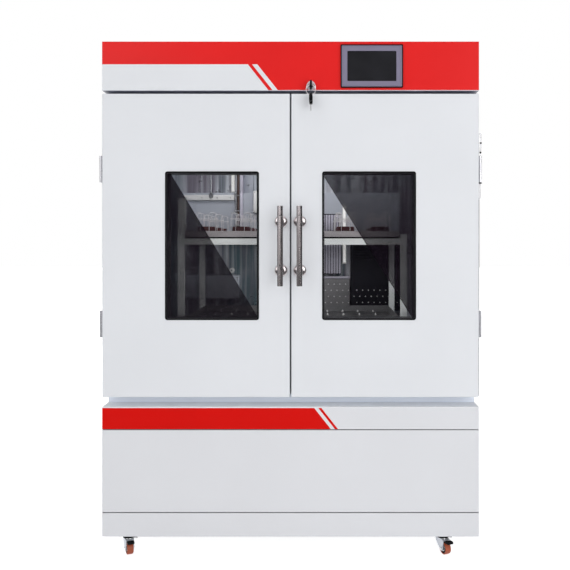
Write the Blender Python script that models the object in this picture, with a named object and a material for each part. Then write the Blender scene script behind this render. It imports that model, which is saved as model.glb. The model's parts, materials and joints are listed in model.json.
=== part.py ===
# A floor-standing incubated shaker with two glazed doors.
# Metres, +Z up. The origin is on the floor, under the middle of the whole object.
# Every solid hangs from an empty in the plane of the doors, so depths count back from their front face.

from math import acos, cos, pi, radians, sin, sqrt

import bmesh
import bpy
from mathutils import Matrix, Vector

# The casing
WIDTH = 1.260
BODY_DEPTH = 0.730
FRONT_STEP = 0.070  # doors, header and base stand this far in front of the body
UNDERSIDE = 0.070
SKIRT_HEIGHT = 0.079
SERVICE_HEIGHT = 0.275
BAND_HEIGHT = 0.076
SEAM = 0.002
BASE_RECESS = 0.032
DOOR_HEIGHT = 1.015
HEADER_RECESS = 0.010
HEADER_HEIGHT = 0.164
SHEET = 0.0015
FRAME_SHEET = 0.003
GAP = 0.0003  # between pieces that touch
OVERRUN = 0.002  # how far a cutter runs past what it cuts

# The chamber
CHAMBER_WALL = 0.085  # of foam and sheet, between each side and the chamber
SILL = 0.039  # from the doors' lower edge up to the chamber floor
LINTEL = 0.041  # from the chamber's ceiling up to the doors' upper edge
CHAMBER_DEPTH = 0.597
MOUTH_RADIUS = 0.004
FRAME_LAP = 0.130  # the front frame runs this far past the mouth, above and below

# The doors
DOOR_GAP = 0.005
DOOR_DEPTH = 0.056
DOOR_EDGE = 0.002
INNER_PANEL = 0.0035
GASKET_INSET = 0.010
GASKET_WIDTH = 0.020
WINDOW_WIDTH = 0.314
WINDOW_HEIGHT = 0.497
WINDOW_RADIUS = 0.009
WINDOW_X = 0.2625
WINDOW_DROP = 0.001  # below the middle of the door
TRIM_LIP = 0.005
TRIM_PROUD = 0.0018
TRIM_WALL = 0.002
TRIM_REVEAL = 0.0017  # the trim runs this far past the inner panel
GLAZING = 0.024
GLAZING_SET_BACK = 0.0012

# The handles
HANDLE_X = 0.0315
HANDLE_DROP = 0.002  # below the middle of the door
HANDLE_LENGTH = 0.262
HANDLE_RADIUS = 0.0095
HANDLE_STANDOFF = 0.057
HANDLE_POSTS = 0.163
POST_RADIUS = 0.008
ROSE_RADIUS = 0.021
ROSE_HEIGHT = 0.006

# The door hinges
HINGE_OUT = 0.006  # the axis lies this far outside the casing
HINGE_BACK = 0.008
HINGE_HEIGHTS = {"upper": 1.299, "lower": 0.780}
HINGE_LENGTH = 0.089
HINGE_BREAK = 0.001
BARREL_RADIUS = 0.005
PIN_RADIUS = 0.0025
PIN_CLEARANCE = 0.00025
PIN_ENGAGEMENT = 0.030
LEAF = 0.0025
DOOR_LEAF_WIDTH = 0.034
PAD_WIDTH = 0.026

# The touch screen
SCREEN_X = 0.2715
SCREEN_RISE = 0.081  # above the header's lower edge
BEZEL_WIDTH = 0.206
BEZEL_HEIGHT = 0.142
BEZEL_PROUD = 0.006
BEZEL_EDGE = 0.003
BEZEL_LAP = 0.008
BEZEL_RADIUS = 0.003
HOUSING_DEPTH = 0.035
SCREEN_WIDTH = 0.163
SCREEN_HEIGHT = 0.100
SCREEN_THICKNESS = 0.002
SCREEN_SET_BACK = 0.001

# The lock, its key and the spare on a split ring
LOCK_X = 0.0685
LOCK_RISE = 0.014  # above the header's lower edge
LOCK_ROSE_RADIUS = 0.0128
LOCK_ROSE = 0.006
LOCK_EDGE = 0.0012
LOCK_RADIUS = 0.009
LOCK_DEPTH = 0.030
PLUG_RADIUS = 0.006
PLUG_PROUD = 0.0015
CAM_REACH = 0.036
CAM_HALF = 0.006
CAM = 0.003
CAM_CLEARANCE = 0.002
KEY_HEAD_ALONG = 0.024
KEY_HEAD_ACROSS = 0.030
KEY_HEAD_RADIUS = 0.008
KEY_HEAD = 0.007
KEY_EYE_RADIUS = 0.0035
KEY_EYE_OFFSET = 0.0065
KEY_NECK = 0.004
BLADE_WIDTH = 0.008
BLADE = 0.0022
BLADE_LENGTH = 0.032
SPLIT_RING_RADIUS = 0.016
SPLIT_RING_WIRE = 0.001

# The casters
CASTER_INSETS = {"left": 0.078, "right": 0.114}
CASTER_BACK = 0.042
CASTER_YAW = radians(25)
WHEEL_RADIUS = 0.021
WHEEL_WIDTH = 0.022
WHEEL_CROWN = 0.002
TREAD = 0.005
HUB_RADIUS = 0.007
HUB_RECESS = 0.003
AXLE_RADIUS = 0.003
AXLE_HEAD = 0.0025
TRAIL = 0.014
CHEEK = 0.0025
CHEEK_CLEARANCE = 0.0008
CHEEK_LOBE = 0.0065
CROWN_LOW = 0.0465
CROWN_THICKNESS = 0.003
CROWN_BEHIND = 0.016
CROWN_AHEAD = 0.022
RACE_RADIUS = 0.0115
STEM_RADIUS = 0.006
STEM_LENGTH = 0.012
SOCKET_RADIUS = 0.014
SOCKET_DROP = 0.016
PEDAL_LOW = 0.0428
PEDAL_ARM = 0.003
PEDAL_REACH = 0.048
PEDAL_PIVOT = 0.012
PEDAL_PAD = 0.020
PEDAL_PAD_HEIGHT = 0.008

# The shaker's drive, on the chamber floor
DRIVE_Y = 0.400
ORBIT = 0.013
DRIVE_PLATE = 0.010
DRIVE_EDGE = 0.050
BOSS_RADIUS = 0.030
BOSS_HEIGHT = 0.053
SHAFT_RADIUS = 0.012
SHAFT_CLEARANCE = 0.0004
DISC_CLEARANCE = 0.005
FLYWHEEL_RADIUS = 0.110
FLYWHEEL = 0.035
IDLER_RADIUS = 0.045
IDLER_INSET = 0.105  # from the rack's posts
IDLER_Y = 0.205
CRANK_PIN_RADIUS = 0.010
CRANK_PIN_LENGTH = 0.020
MOTOR_X = 0.245
MOTOR_RADIUS = 0.048
MOTOR_HEIGHT = 0.054
MOTOR_SHAFT_RADIUS = 0.007
MOTOR_SHAFT_LENGTH = 0.045
PULLEY_RADIUS = 0.030
BELT_WIDTH = 0.020
BELT = 0.003

# The rack and its trays
RACK_CLEARANCE = 0.150  # from the chamber's side to the middle of the rack's posts
RACK_FRONT = 0.150
RACK_DEPTH = 0.440
BAR = 0.022
UPPER_BAR_TOP = 1.068
POST_RISE = 0.015  # above the upper bars
LOWER_BAR_TOP = 0.765
RACK_DECK = 0.006
CUP_RADIUS = 0.028
CUP_CLEARANCE = 0.002
TRAY_SIDE_GAP = 0.004
TRAY_LIP = 0.0267
TRAY_SHEET = 0.002

# Air, cold and power
DUCT_WIDTH = 0.860
DUCT_LOW = 1.100
DUCT_HIGH = 1.265
DUCT_DEPTH = 0.055
FAN_Z = 1.185
FAN_RADIUS = 0.062
FAN_HUB_RADIUS = 0.018
FAN_HUB = 0.026
FAN_SET_BACK = 0.014
FAN_BLADES = 6
FAN_BLADE = 0.002
FAN_BLADE_CHORD = 0.030
FAN_PITCH = radians(35)
FAN_SHAFT_RADIUS = 0.005
FAN_SHAFT_LENGTH = 0.040
INLET_RADIUS = 0.066
COMPRESSOR_X = -0.350
COMPRESSOR_Y = 0.450
COMPRESSOR_RADIUS = 0.075
COMPRESSOR_HEIGHT = 0.190
COMPRESSOR_FOOT_RADIUS = 0.090
COMPRESSOR_FOOT = 0.006
COMPRESSOR_DOME = 0.030
POWER_INSET = 0.210
POWER_Z = 0.230
POWER_WIDTH = 0.047
POWER_HEIGHT = 0.029
POWER_DEPTH = 0.030
POWER_WALL = 0.004
POWER_SOCKET = 0.018
POWER_RADIUS = 0.003

# How finely round shapes are cut
CORNER_STEPS = 4
FINE_SIDES = 20
SIDES = 16
COARSE_SIDES = 12
WIRE_SIDES = 6
RING_STEPS = 24
SMOOTH_ANGLE = radians(35)

# Heights and places that follow
SERVICE_LOW = UNDERSIDE + SKIRT_HEIGHT + SEAM
BAND_LOW = SERVICE_LOW + SERVICE_HEIGHT + SEAM
BASE_TOP = BAND_LOW + BAND_HEIGHT
DOOR_LOW = BASE_TOP + BASE_RECESS
DOOR_HIGH = DOOR_LOW + DOOR_HEIGHT
HEADER_LOW = DOOR_HIGH + HEADER_RECESS
TOP = HEADER_LOW + HEADER_HEIGHT
SCREEN_Z = HEADER_LOW + SCREEN_RISE
LOCK_Z = HEADER_LOW + LOCK_RISE
HALF_WIDTH = WIDTH / 2
BACK = FRONT_STEP + BODY_DEPTH
HANDLE_REACH = HANDLE_STANDOFF + HANDLE_RADIUS
FRONT_Y = HANDLE_REACH - (HANDLE_REACH + BACK) / 2
INSIDE_HALF = HALF_WIDTH - SHEET - GAP  # half the width between the side panels
STEP_BACK = FRONT_STEP - GAP
PANEL_LOW = DOOR_DEPTH + GAP
PANEL_HIGH = PANEL_LOW + INNER_PANEL
CHAMBER_WIDTH = WIDTH - 2 * CHAMBER_WALL
CHAMBER_LOW = DOOR_LOW + SILL
CHAMBER_HIGH = DOOR_HIGH - LINTEL
DOOR_HALF = (HALF_WIDTH - DOOR_GAP / 2) / 2
DOOR_X = DOOR_GAP / 2 + DOOR_HALF
DOOR_Z = (DOOR_LOW + DOOR_HIGH) / 2
WINDOW_Z = DOOR_Z - WINDOW_DROP
HANDLE_Z = DOOR_Z - HANDLE_DROP
HOLE_HALF_WIDTH = WINDOW_WIDTH / 2 - TRIM_LIP
HOLE_HALF_HEIGHT = WINDOW_HEIGHT / 2 - TRIM_LIP
HOLE_RADIUS = WINDOW_RADIUS - TRIM_LIP
LINER_FRONT = FRONT_STEP + FRAME_SHEET + GAP
LINER_BACK = LINER_FRONT + CHAMBER_DEPTH
FLOOR = CHAMBER_LOW + SHEET + GAP
PLATE_TOP = FLOOR + DRIVE_PLATE
BOSS_TOP = PLATE_TOP + BOSS_HEIGHT
DISC_LOW = BOSS_TOP + DISC_CLEARANCE
DISC_TOP = DISC_LOW + FLYWHEEL
PIN_Y = DRIVE_Y - ORBIT
CUP_LOW = DISC_TOP + CUP_CLEARANCE
DECK_LOW = DISC_TOP + CRANK_PIN_LENGTH + CUP_CLEARANCE
RACK_X = CHAMBER_WIDTH / 2 - RACK_CLEARANCE
RACK_BACK = RACK_FRONT + RACK_DEPTH
RACK_HALF = RACK_X + BAR / 2
POST_TOP = UPPER_BAR_TOP + POST_RISE
IDLER_X = RACK_X - IDLER_INSET
POWER_X = HALF_WIDTH - POWER_INSET

MATERIALS = {
    "white_paint": ((0.76, 0.77, 0.80), 0.35, 0.0),
    "red_paint": ((0.75, 0.05, 0.05), 0.35, 0.0),
    "bright_steel": ((0.62, 0.60, 0.60), 0.30, 1.0),
    "stainless": ((0.55, 0.57, 0.60), 0.35, 1.0),
    "zinc": ((0.60, 0.62, 0.66), 0.40, 1.0),
    "chrome": ((0.80, 0.80, 0.80), 0.10, 1.0),
    "dark_rubber": ((0.03, 0.03, 0.03), 0.80, 0.0),
    "pale_rubber": ((0.55, 0.56, 0.58), 0.80, 0.0),
    "black_plastic": ((0.02, 0.02, 0.02), 0.45, 0.0),
    "bezel_plastic": ((0.27, 0.24, 0.34), 0.50, 0.0),
    "screen_glass": ((0.02, 0.02, 0.03), 0.10, 0.0),
    "tinted_glass": ((0.10, 0.11, 0.12), 0.05, 0.0),
    "terracotta": ((0.40, 0.09, 0.04), 0.60, 0.0),
    "tray_metal": ((0.30, 0.24, 0.24), 0.45, 0.6),
    "cast_metal": ((0.20, 0.21, 0.22), 0.60, 0.8),
    "black_paint": ((0.03, 0.03, 0.03), 0.50, 0.0),
}


def paint(name):
    """The named material, made the first time that it is asked for."""
    if name in bpy.data.materials:
        return bpy.data.materials[name]
    colour, roughness, metallic = MATERIALS[name]
    material = bpy.data.materials.new(name)
    material.use_nodes = True
    shader = material.node_tree.nodes["Principled BSDF"]
    shader.inputs["Base Color"].default_value = (*colour, 1)
    shader.inputs["Roughness"].default_value = roughness
    shader.inputs["Metallic"].default_value = metallic
    return material


def add_empty(name, place, parent=None, yaw=0.0):
    empty = bpy.data.objects.new(name, None)
    bpy.context.scene.collection.objects.link(empty)
    empty.parent = parent
    empty.location = place
    empty.rotation_euler.z = yaw
    return empty


def add_solid(name, bm, material, about=(0, 0, 0), parent=None, solid_sheet=None):
    """An object whose origin is the point about, which is given in the same space as the mesh."""
    about = Vector(about)
    bmesh.ops.translate(bm, vec=-about, verts=bm.verts)
    bmesh.ops.recalc_face_normals(bm, faces=bm.faces)
    mesh = bpy.data.meshes.new(name)
    bm.to_mesh(mesh)
    bm.free()
    mesh.shade_smooth()
    mesh.set_sharp_from_angle(angle=SMOOTH_ANGLE)
    if material:
        mesh.materials.append(paint(material))
    obj = bpy.data.objects.new(name, mesh)
    bpy.context.scene.collection.objects.link(obj)
    obj.parent = parent or bpy.data.objects["door_plane"]
    obj.location = about
    if solid_sheet:
        thicken = obj.modifiers.new("sheet", "SOLIDIFY")
        thicken.thickness = solid_sheet
        thicken.offset = -1
        thicken.use_even_offset = True
    return obj


def add_helper(name, bm, parent=None):
    helper = add_solid(name, bm, None, parent=parent)
    helper.hide_render = True
    helper.display_type = "WIRE"
    return helper


def combine(obj, operation, helpers):
    for helper in helpers:
        modifier = obj.modifiers.new(helper.name, "BOOLEAN")
        modifier.operation = operation
        modifier.solver = "EXACT"
        modifier.object = helper


def fuse(obj, meshes, parent=None):
    pieces = [add_helper(f"{obj.name}_piece_{i}", bm, parent) for i, bm in enumerate(meshes)]
    combine(obj, "UNION", pieces)


def cut(obj, meshes):
    combine(obj, "DIFFERENCE", [add_helper(f"{obj.name}_cut_{i}", bm) for i, bm in enumerate(meshes)])


def box(low, high):
    low, high = Vector(low), Vector(high)
    bm = bmesh.new()
    place = Matrix.Translation((low + high) / 2) @ Matrix.Diagonal((*(high - low), 1))
    bmesh.ops.create_cube(bm, size=1, matrix=place)
    return bm


def skin(rings, closed):
    """Faces from each ring of points to the next, then back to the first or with a cap on both ends."""
    bm = bmesh.new()
    made = [[bm.verts.new(point) for point in ring] for ring in rings]
    pairs = list(zip(made, made[1:]))
    if closed:
        pairs.append((made[-1], made[0]))
    else:
        bm.faces.new(made[0])
        bm.faces.new(made[-1])
    count = len(made[0])
    for first, second in pairs:
        for i in range(count):
            j = (i + 1) % count
            bm.faces.new((first[i], first[j], second[j], second[i]))
    return bm


def rounded(half_width, half_height, radius):
    """A rectangle with round corners, as points (across, up)."""
    points = []
    for quarter, (side, end) in enumerate(((1, 1), (-1, 1), (-1, -1), (1, -1))):
        for step in range(CORNER_STEPS + 1):
            angle = (quarter + step / CORNER_STEPS) * pi / 2
            across = side * (half_width - radius) + radius * cos(angle)
            points.append((across, end * (half_height - radius) + radius * sin(angle)))
    return points


def upright(x, z, half_width, half_height, radius, depth):
    """A rounded rectangle that faces forwards, at a depth."""
    return [(x + across, depth, z + up) for across, up in rounded(half_width, half_height, radius)]


def circle(radius, sides):
    return [(radius * cos(2 * pi * i / sides), radius * sin(2 * pi * i / sides)) for i in range(sides)]


def turned(centre, along, profile, sides=SIDES, closed=False):
    """A profile of (radius, distance along) points, turned about the axis x, y or z through a centre."""
    x, y, z = centre
    rings = []
    for radius, far in profile:
        points = circle(radius, sides)
        if along == "x":
            rings.append([(x + far, y + u, z + v) for u, v in points])
        elif along == "y":
            rings.append([(x + u, y + far, z + v) for u, v in points])
        else:
            rings.append([(x + u, y + v, z + far) for u, v in points])
    return skin(rings, closed)


def rod(centre, along, radius, low, high, sides=SIDES):
    return turned(centre, along, [(radius, low), (radius, high)], sides)


def tube(centre, along, bore, radius, low, high, sides=SIDES):
    profile = [(bore, low), (radius, low), (radius, high), (bore, high)]
    return turned(centre, along, profile, sides, closed=True)


def bore_for(radius, clearance, sides=SIDES):
    """The corner radius of a bore that a shaft of this radius turns in."""
    return (radius + clearance) / cos(pi / sides)


def pan(name, low, high, open_sides, material, sheet=SHEET):
    """A folded sheet box with the named sides left open, such as +y for the back."""
    bm = box(low, high)
    bm.normal_update()
    gone = []
    for sign, axis in open_sides:
        facing = 1 if sign == "+" else -1
        gone += [face for face in bm.faces if round(face.normal["xyz".index(axis)]) == facing]
    bmesh.ops.delete(bm, geom=gone, context="FACES")
    return add_solid(name, bm, material, solid_sheet=sheet)


def front_pan(name, low, height, open_sides, material):
    """A folded sheet panel that stands in front of the casing over its full width."""
    corners = (-HALF_WIDTH, 0, low), (HALF_WIDTH, STEP_BACK, low + height)
    return pan(name, *corners, open_sides, material)


def make_casing():
    for side, sign in (("left", -1), ("right", 1)):
        outer, inner = sign * HALF_WIDTH, sign * (HALF_WIDTH - SHEET)
        low = (min(outer, inner), FRONT_STEP, UNDERSIDE)
        high = (max(outer, inner), BACK, TOP)
        add_solid(f"{side}_side_panel", box(low, high), "white_paint")
    top_low = (-INSIDE_HALF, FRONT_STEP + GAP, TOP - SHEET)
    add_solid("top_panel", box(top_low, (INSIDE_HALF, BACK - SHEET - GAP, TOP)), "white_paint")
    rear_low = (-INSIDE_HALF, BACK - SHEET, UNDERSIDE + FRAME_SHEET + SHEET)
    rear = add_solid("rear_panel", box(rear_low, (INSIDE_HALF, BACK, TOP - SHEET - GAP)), "white_paint")
    opening = (POWER_WIDTH / 2 + GAP, POWER_HEIGHT / 2 + GAP, POWER_RADIUS)
    ends = (BACK - SHEET - OVERRUN, BACK + OVERRUN)
    cut(rear, [skin([upright(POWER_X, POWER_Z, *opening, depth) for depth in ends], closed=False)])
    middle, half_height = (CHAMBER_LOW + CHAMBER_HIGH) / 2, (CHAMBER_HIGH - CHAMBER_LOW) / 2
    mouth = (0, middle, CHAMBER_WIDTH / 2, half_height, MOUTH_RADIUS)
    edge = (0, middle, INSIDE_HALF, half_height + FRAME_LAP, MOUTH_RADIUS)
    front, back = FRONT_STEP, FRONT_STEP + FRAME_SHEET
    rings = [upright(*edge, front), upright(*edge, back), upright(*mouth, back), upright(*mouth, front)]
    add_solid("front_frame", skin(rings, closed=True), "white_paint")
    liner_low = (-CHAMBER_WIDTH / 2 - SHEET, LINER_FRONT, CHAMBER_LOW)
    liner_high = (CHAMBER_WIDTH / 2 + SHEET, LINER_BACK, CHAMBER_HIGH + SHEET)
    liner = pan("chamber_liner", liner_low, liner_high, ["-y"], "stainless")
    shaft_hole = bore_for(FAN_SHAFT_RADIUS, SHAFT_CLEARANCE, COARSE_SIDES)
    cut(liner, [rod((0, LINER_BACK, FAN_Z), "y", shaft_hole, -OVERRUN - SHEET, OVERRUN, COARSE_SIDES)])


def make_base():
    skirt = front_pan("base_pan", UNDERSIDE, SKIRT_HEIGHT, ["+y", "-z", "+z"], "white_paint")
    floor_low = UNDERSIDE + SHEET / 2
    floor_high = floor_low + FRAME_SHEET
    pieces = [box((-INSIDE_HALF, SHEET / 2, floor_low), (INSIDE_HALF, BACK - SHEET - GAP, floor_high))]
    bore = bore_for(STEM_RADIUS, PIN_CLEARANCE, COARSE_SIDES)
    for x, y in caster_places().values():
        low, high = UNDERSIDE - SOCKET_DROP, floor_low + SHEET
        pieces.append(tube((x, y, 0), "z", bore, SOCKET_RADIUS, low, high, COARSE_SIDES))
    fuse(skirt, pieces)
    front_pan("service_panel", SERVICE_LOW, SERVICE_HEIGHT, ["+y"], "white_paint")
    front_pan("base_band_panel", BAND_LOW, BAND_HEIGHT, ["+y"], "white_paint")


def make_header():
    header = front_pan("header_panel", HEADER_LOW, HEADER_HEIGHT, ["+y"], "red_paint")
    cutout = (BEZEL_WIDTH / 2 - BEZEL_LAP, BEZEL_HEIGHT / 2 - BEZEL_LAP, BEZEL_RADIUS)
    housing = (cutout[0] - GAP, cutout[1] - GAP, BEZEL_RADIUS)
    ends = [upright(SCREEN_X, SCREEN_Z, *cutout, depth) for depth in (-OVERRUN, SHEET + OVERRUN)]
    screen_hole = skin(ends, closed=False)
    lock_hole = rod((LOCK_X, 0, LOCK_Z), "y", bore_for(LOCK_RADIUS, GAP), -OVERRUN, SHEET + OVERRUN)
    cut(header, [screen_hole, lock_hole, cam_slot(HEADER_LOW, SHEET)])
    flange = (BEZEL_WIDTH / 2, BEZEL_HEIGHT / 2, BEZEL_RADIUS)
    crest = (flange[0] - BEZEL_EDGE, flange[1] - BEZEL_EDGE, BEZEL_RADIUS)
    pocket = (SCREEN_WIDTH / 2 + GAP, SCREEN_HEIGHT / 2 + GAP, BEZEL_RADIUS)
    pocket_depth = SCREEN_SET_BACK + SCREEN_THICKNESS + GAP - BEZEL_PROUD
    rings = [(pocket, pocket_depth), (pocket, -BEZEL_PROUD), (crest, -BEZEL_PROUD)]
    rings += [(flange, BEZEL_EDGE - BEZEL_PROUD), (flange, -GAP), (housing, -GAP), (housing, HOUSING_DEPTH)]
    bezel = skin([upright(SCREEN_X, SCREEN_Z, *size, depth) for size, depth in rings], closed=False)
    add_solid("screen_bezel", bezel, "bezel_plastic")
    glass = (SCREEN_WIDTH / 2, SCREEN_HEIGHT / 2, BEZEL_RADIUS)
    face = SCREEN_SET_BACK - BEZEL_PROUD
    ends = [upright(SCREEN_X, SCREEN_Z, *glass, depth) for depth in (face, face + SCREEN_THICKNESS)]
    add_solid("touch_screen", skin(ends, closed=False), "screen_glass")


def cam_slot(z, sheet):
    """The slot that the lock's cam swings through, in a flat sheet whose lower face is at z."""
    drop = LOCK_Z - z
    reach = sqrt(CAM_REACH**2 - drop**2) + CAM_CLEARANCE
    low = (LOCK_X - CAM_HALF - CAM_CLEARANCE, LOCK_DEPTH, z - OVERRUN)
    return box(low, (LOCK_X + reach, LOCK_DEPTH + CAM + 2 * CAM_CLEARANCE, z + sheet + OVERRUN))


def key_head(centre, blade_down):
    """A key's head with its eye cut through, and its blade. The blade runs back, or down on the spare."""
    x, y, z = centre

    def place(side, along, across):
        if blade_down:
            return (x + side, y + across, z - along)
        return (x + side, y + along, z + across)

    outline = rounded(KEY_HEAD_ALONG / 2, KEY_HEAD_ACROSS / 2, KEY_HEAD_RADIUS)
    head = skin([[place(side * KEY_HEAD / 2, u, v) for u, v in outline] for side in (-1, 1)], closed=False)
    sides = (-KEY_HEAD / 2 - OVERRUN, KEY_HEAD / 2 + OVERRUN)
    eye_points = [(u - KEY_EYE_OFFSET, v) for u, v in circle(KEY_EYE_RADIUS, COARSE_SIDES)]
    eye = skin([[place(side, u, v) for u, v in eye_points] for side in sides], closed=False)
    return head, eye, place


def make_lock():
    plug_bore = bore_for(PLUG_RADIUS, PIN_CLEARANCE)
    profile = [(plug_bore, -LOCK_ROSE), (LOCK_ROSE_RADIUS - LOCK_EDGE, -LOCK_ROSE)]
    profile += [(LOCK_ROSE_RADIUS, LOCK_EDGE - LOCK_ROSE), (LOCK_ROSE_RADIUS, -GAP)]
    profile += [(LOCK_RADIUS, -GAP), (LOCK_RADIUS, LOCK_DEPTH), (plug_bore, LOCK_DEPTH)]
    add_solid("lock_barrel", turned((LOCK_X, 0, LOCK_Z), "y", profile, closed=True), "chrome")

    plug_front = -LOCK_ROSE - PLUG_PROUD
    centre_y = plug_front - KEY_NECK - KEY_HEAD_ALONG / 2
    head, eye, place = key_head((LOCK_X, centre_y, LOCK_Z), blade_down=False)
    key = add_solid("door_key", head, "black_plastic", about=(LOCK_X, 0, LOCK_Z))
    cut(key, [eye])
    plug = rod((LOCK_X, 0, LOCK_Z), "y", PLUG_RADIUS, plug_front, LOCK_DEPTH + CAM_CLEARANCE + CAM / 2)
    blade_end = KEY_HEAD_ALONG / 2 + KEY_NECK + PLUG_PROUD
    blade = box(place(-BLADE / 2, 0, -BLADE_WIDTH / 2), place(BLADE / 2, blade_end, BLADE_WIDTH / 2))
    cam_low = (LOCK_X - CAM_HALF, LOCK_DEPTH + CAM_CLEARANCE, LOCK_Z - CAM_HALF)
    cam = box(cam_low, (LOCK_X + CAM_REACH, LOCK_DEPTH + CAM_CLEARANCE + CAM, LOCK_Z + CAM_HALF))
    # The blade starts inside the head, behind the eye.
    blade_piece = add_helper("door_key_blade", blade)
    trim_low = place(-KEY_HEAD, -KEY_HEAD_ALONG, -KEY_HEAD_ACROSS)
    cut(blade_piece, [box(trim_low, place(KEY_HEAD, KEY_EYE_RADIUS, KEY_HEAD_ACROSS))])
    combine(key, "UNION", [blade_piece])
    fuse(key, [plug, cam])

    # The wire hangs at the lowest place in the eye where its curve still clears the head's faces.
    droop = SPLIT_RING_RADIUS - sqrt(SPLIT_RING_RADIUS**2 - (KEY_HEAD / 2) ** 2)
    drop = KEY_EYE_RADIUS * cos(pi / COARSE_SIDES) - SPLIT_RING_WIRE - droop - GAP
    ring_y = centre_y - KEY_EYE_OFFSET
    ring_top = LOCK_Z - drop
    ring_z = ring_top - SPLIT_RING_RADIUS
    rings = []
    for i in range(RING_STEPS):
        turn = 2 * pi * i / RING_STEPS
        rings.append([])
        for u, v in circle(SPLIT_RING_WIRE, WIRE_SIDES):
            out = SPLIT_RING_RADIUS + u
            rings[-1].append((LOCK_X + out * sin(turn), ring_y + v, ring_z + out * cos(turn)))
    add_solid("split_ring", skin(rings, closed=True), "chrome", about=(LOCK_X, ring_y, ring_top))

    ring_low = ring_z - SPLIT_RING_RADIUS
    head, eye, place = key_head((LOCK_X, ring_y, ring_low - drop - KEY_EYE_OFFSET), blade_down=True)
    spare = add_solid("spare_key", head, "black_plastic", about=(LOCK_X, ring_y, ring_low))
    cut(spare, [eye])
    blade_low = place(-BLADE / 2, KEY_HEAD_ALONG / 2 + BLADE_LENGTH, -BLADE_WIDTH / 2)
    fuse(spare, [box(blade_low, place(BLADE / 2, KEY_EYE_RADIUS, BLADE_WIDTH / 2))])


def make_door(side, sign):
    axis = (sign * (HALF_WIDTH + HINGE_OUT), HINGE_BACK, 0)
    x, window_x = sign * DOOR_X, sign * WINDOW_X
    half_height = DOOR_HEIGHT / 2

    def leaf(inset, depth):
        return upright(x, DOOR_Z, DOOR_HALF - inset, half_height - inset, DOOR_EDGE, depth)

    def hole(inset, depth):
        size = (HOLE_HALF_WIDTH - inset, HOLE_HALF_HEIGHT - inset, HOLE_RADIUS - inset)
        return upright(window_x, WINDOW_Z, *size, depth)

    rings = [leaf(0, DOOR_DEPTH), leaf(0, DOOR_EDGE), leaf(DOOR_EDGE / 2, 0), hole(0, 0), hole(0, SHEET)]
    rings += [leaf(DOOR_EDGE, SHEET), leaf(SHEET, 2 * DOOR_EDGE), leaf(SHEET, DOOR_DEPTH)]
    shell = add_solid(f"{side}_door_shell", skin(rings, closed=True), "white_paint", about=axis)
    if side == "right":
        cut(shell, [cam_slot(DOOR_HIGH - SHEET, SHEET)])
    panel = [leaf(0, PANEL_LOW), leaf(0, PANEL_HIGH), hole(0, PANEL_HIGH), hole(0, PANEL_LOW)]
    add_solid(f"{side}_door_inner_panel", skin(panel, closed=True), "white_paint", about=axis)

    lip = (window_x, WINDOW_Z, WINDOW_WIDTH / 2, WINDOW_HEIGHT / 2, WINDOW_RADIUS)
    end = PANEL_HIGH + TRIM_REVEAL
    rings = [upright(*lip, -TRIM_PROUD), upright(*lip, -GAP), hole(GAP, -GAP), hole(GAP, end)]
    rings += [hole(GAP + TRIM_WALL, end), hole(GAP + TRIM_WALL, -TRIM_PROUD)]
    add_solid(f"{side}_window_trim", skin(rings, closed=True), "dark_rubber", about=axis)
    faces = (GLAZING_SET_BACK, GLAZING_SET_BACK + GLAZING)
    pane = skin([hole(TRIM_WALL + 2 * GAP, depth) for depth in faces], closed=False)
    add_solid(f"{side}_window_glass", pane, "tinted_glass", about=axis)

    seal_low, seal_high = PANEL_HIGH + GAP, STEP_BACK
    outer, inner = GASKET_INSET, GASKET_INSET + GASKET_WIDTH
    seal = [leaf(outer, seal_low), leaf(outer, seal_high), leaf(inner, seal_high), leaf(inner, seal_low)]
    add_solid(f"{side}_door_gasket", skin(seal, closed=True), "pale_rubber", about=axis)

    make_handle(side, sign, axis)
    for level, height in HINGE_HEIGHTS.items():
        make_hinge(side, sign, level, height, axis)


def make_handle(side, sign, axis):
    x = sign * HANDLE_X
    grip = rod((x, -HANDLE_STANDOFF, HANDLE_Z), "z", HANDLE_RADIUS, -HANDLE_LENGTH / 2, HANDLE_LENGTH / 2)
    handle = add_solid(f"{side}_handle", grip, "bright_steel", about=axis)
    pieces = []
    for end in (-1, 1):
        foot = (x, 0, HANDLE_Z + end * HANDLE_POSTS / 2)
        pieces.append(rod(foot, "y", POST_RADIUS, -HANDLE_STANDOFF, -GAP - ROSE_HEIGHT / 2, COARSE_SIDES))
        edge = ROSE_HEIGHT / 4
        rose = [(ROSE_RADIUS, -GAP), (ROSE_RADIUS, -ROSE_HEIGHT + edge), (ROSE_RADIUS - edge, -ROSE_HEIGHT)]
        pieces.append(turned(foot, "y", rose, FINE_SIDES))
    fuse(handle, pieces)


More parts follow.
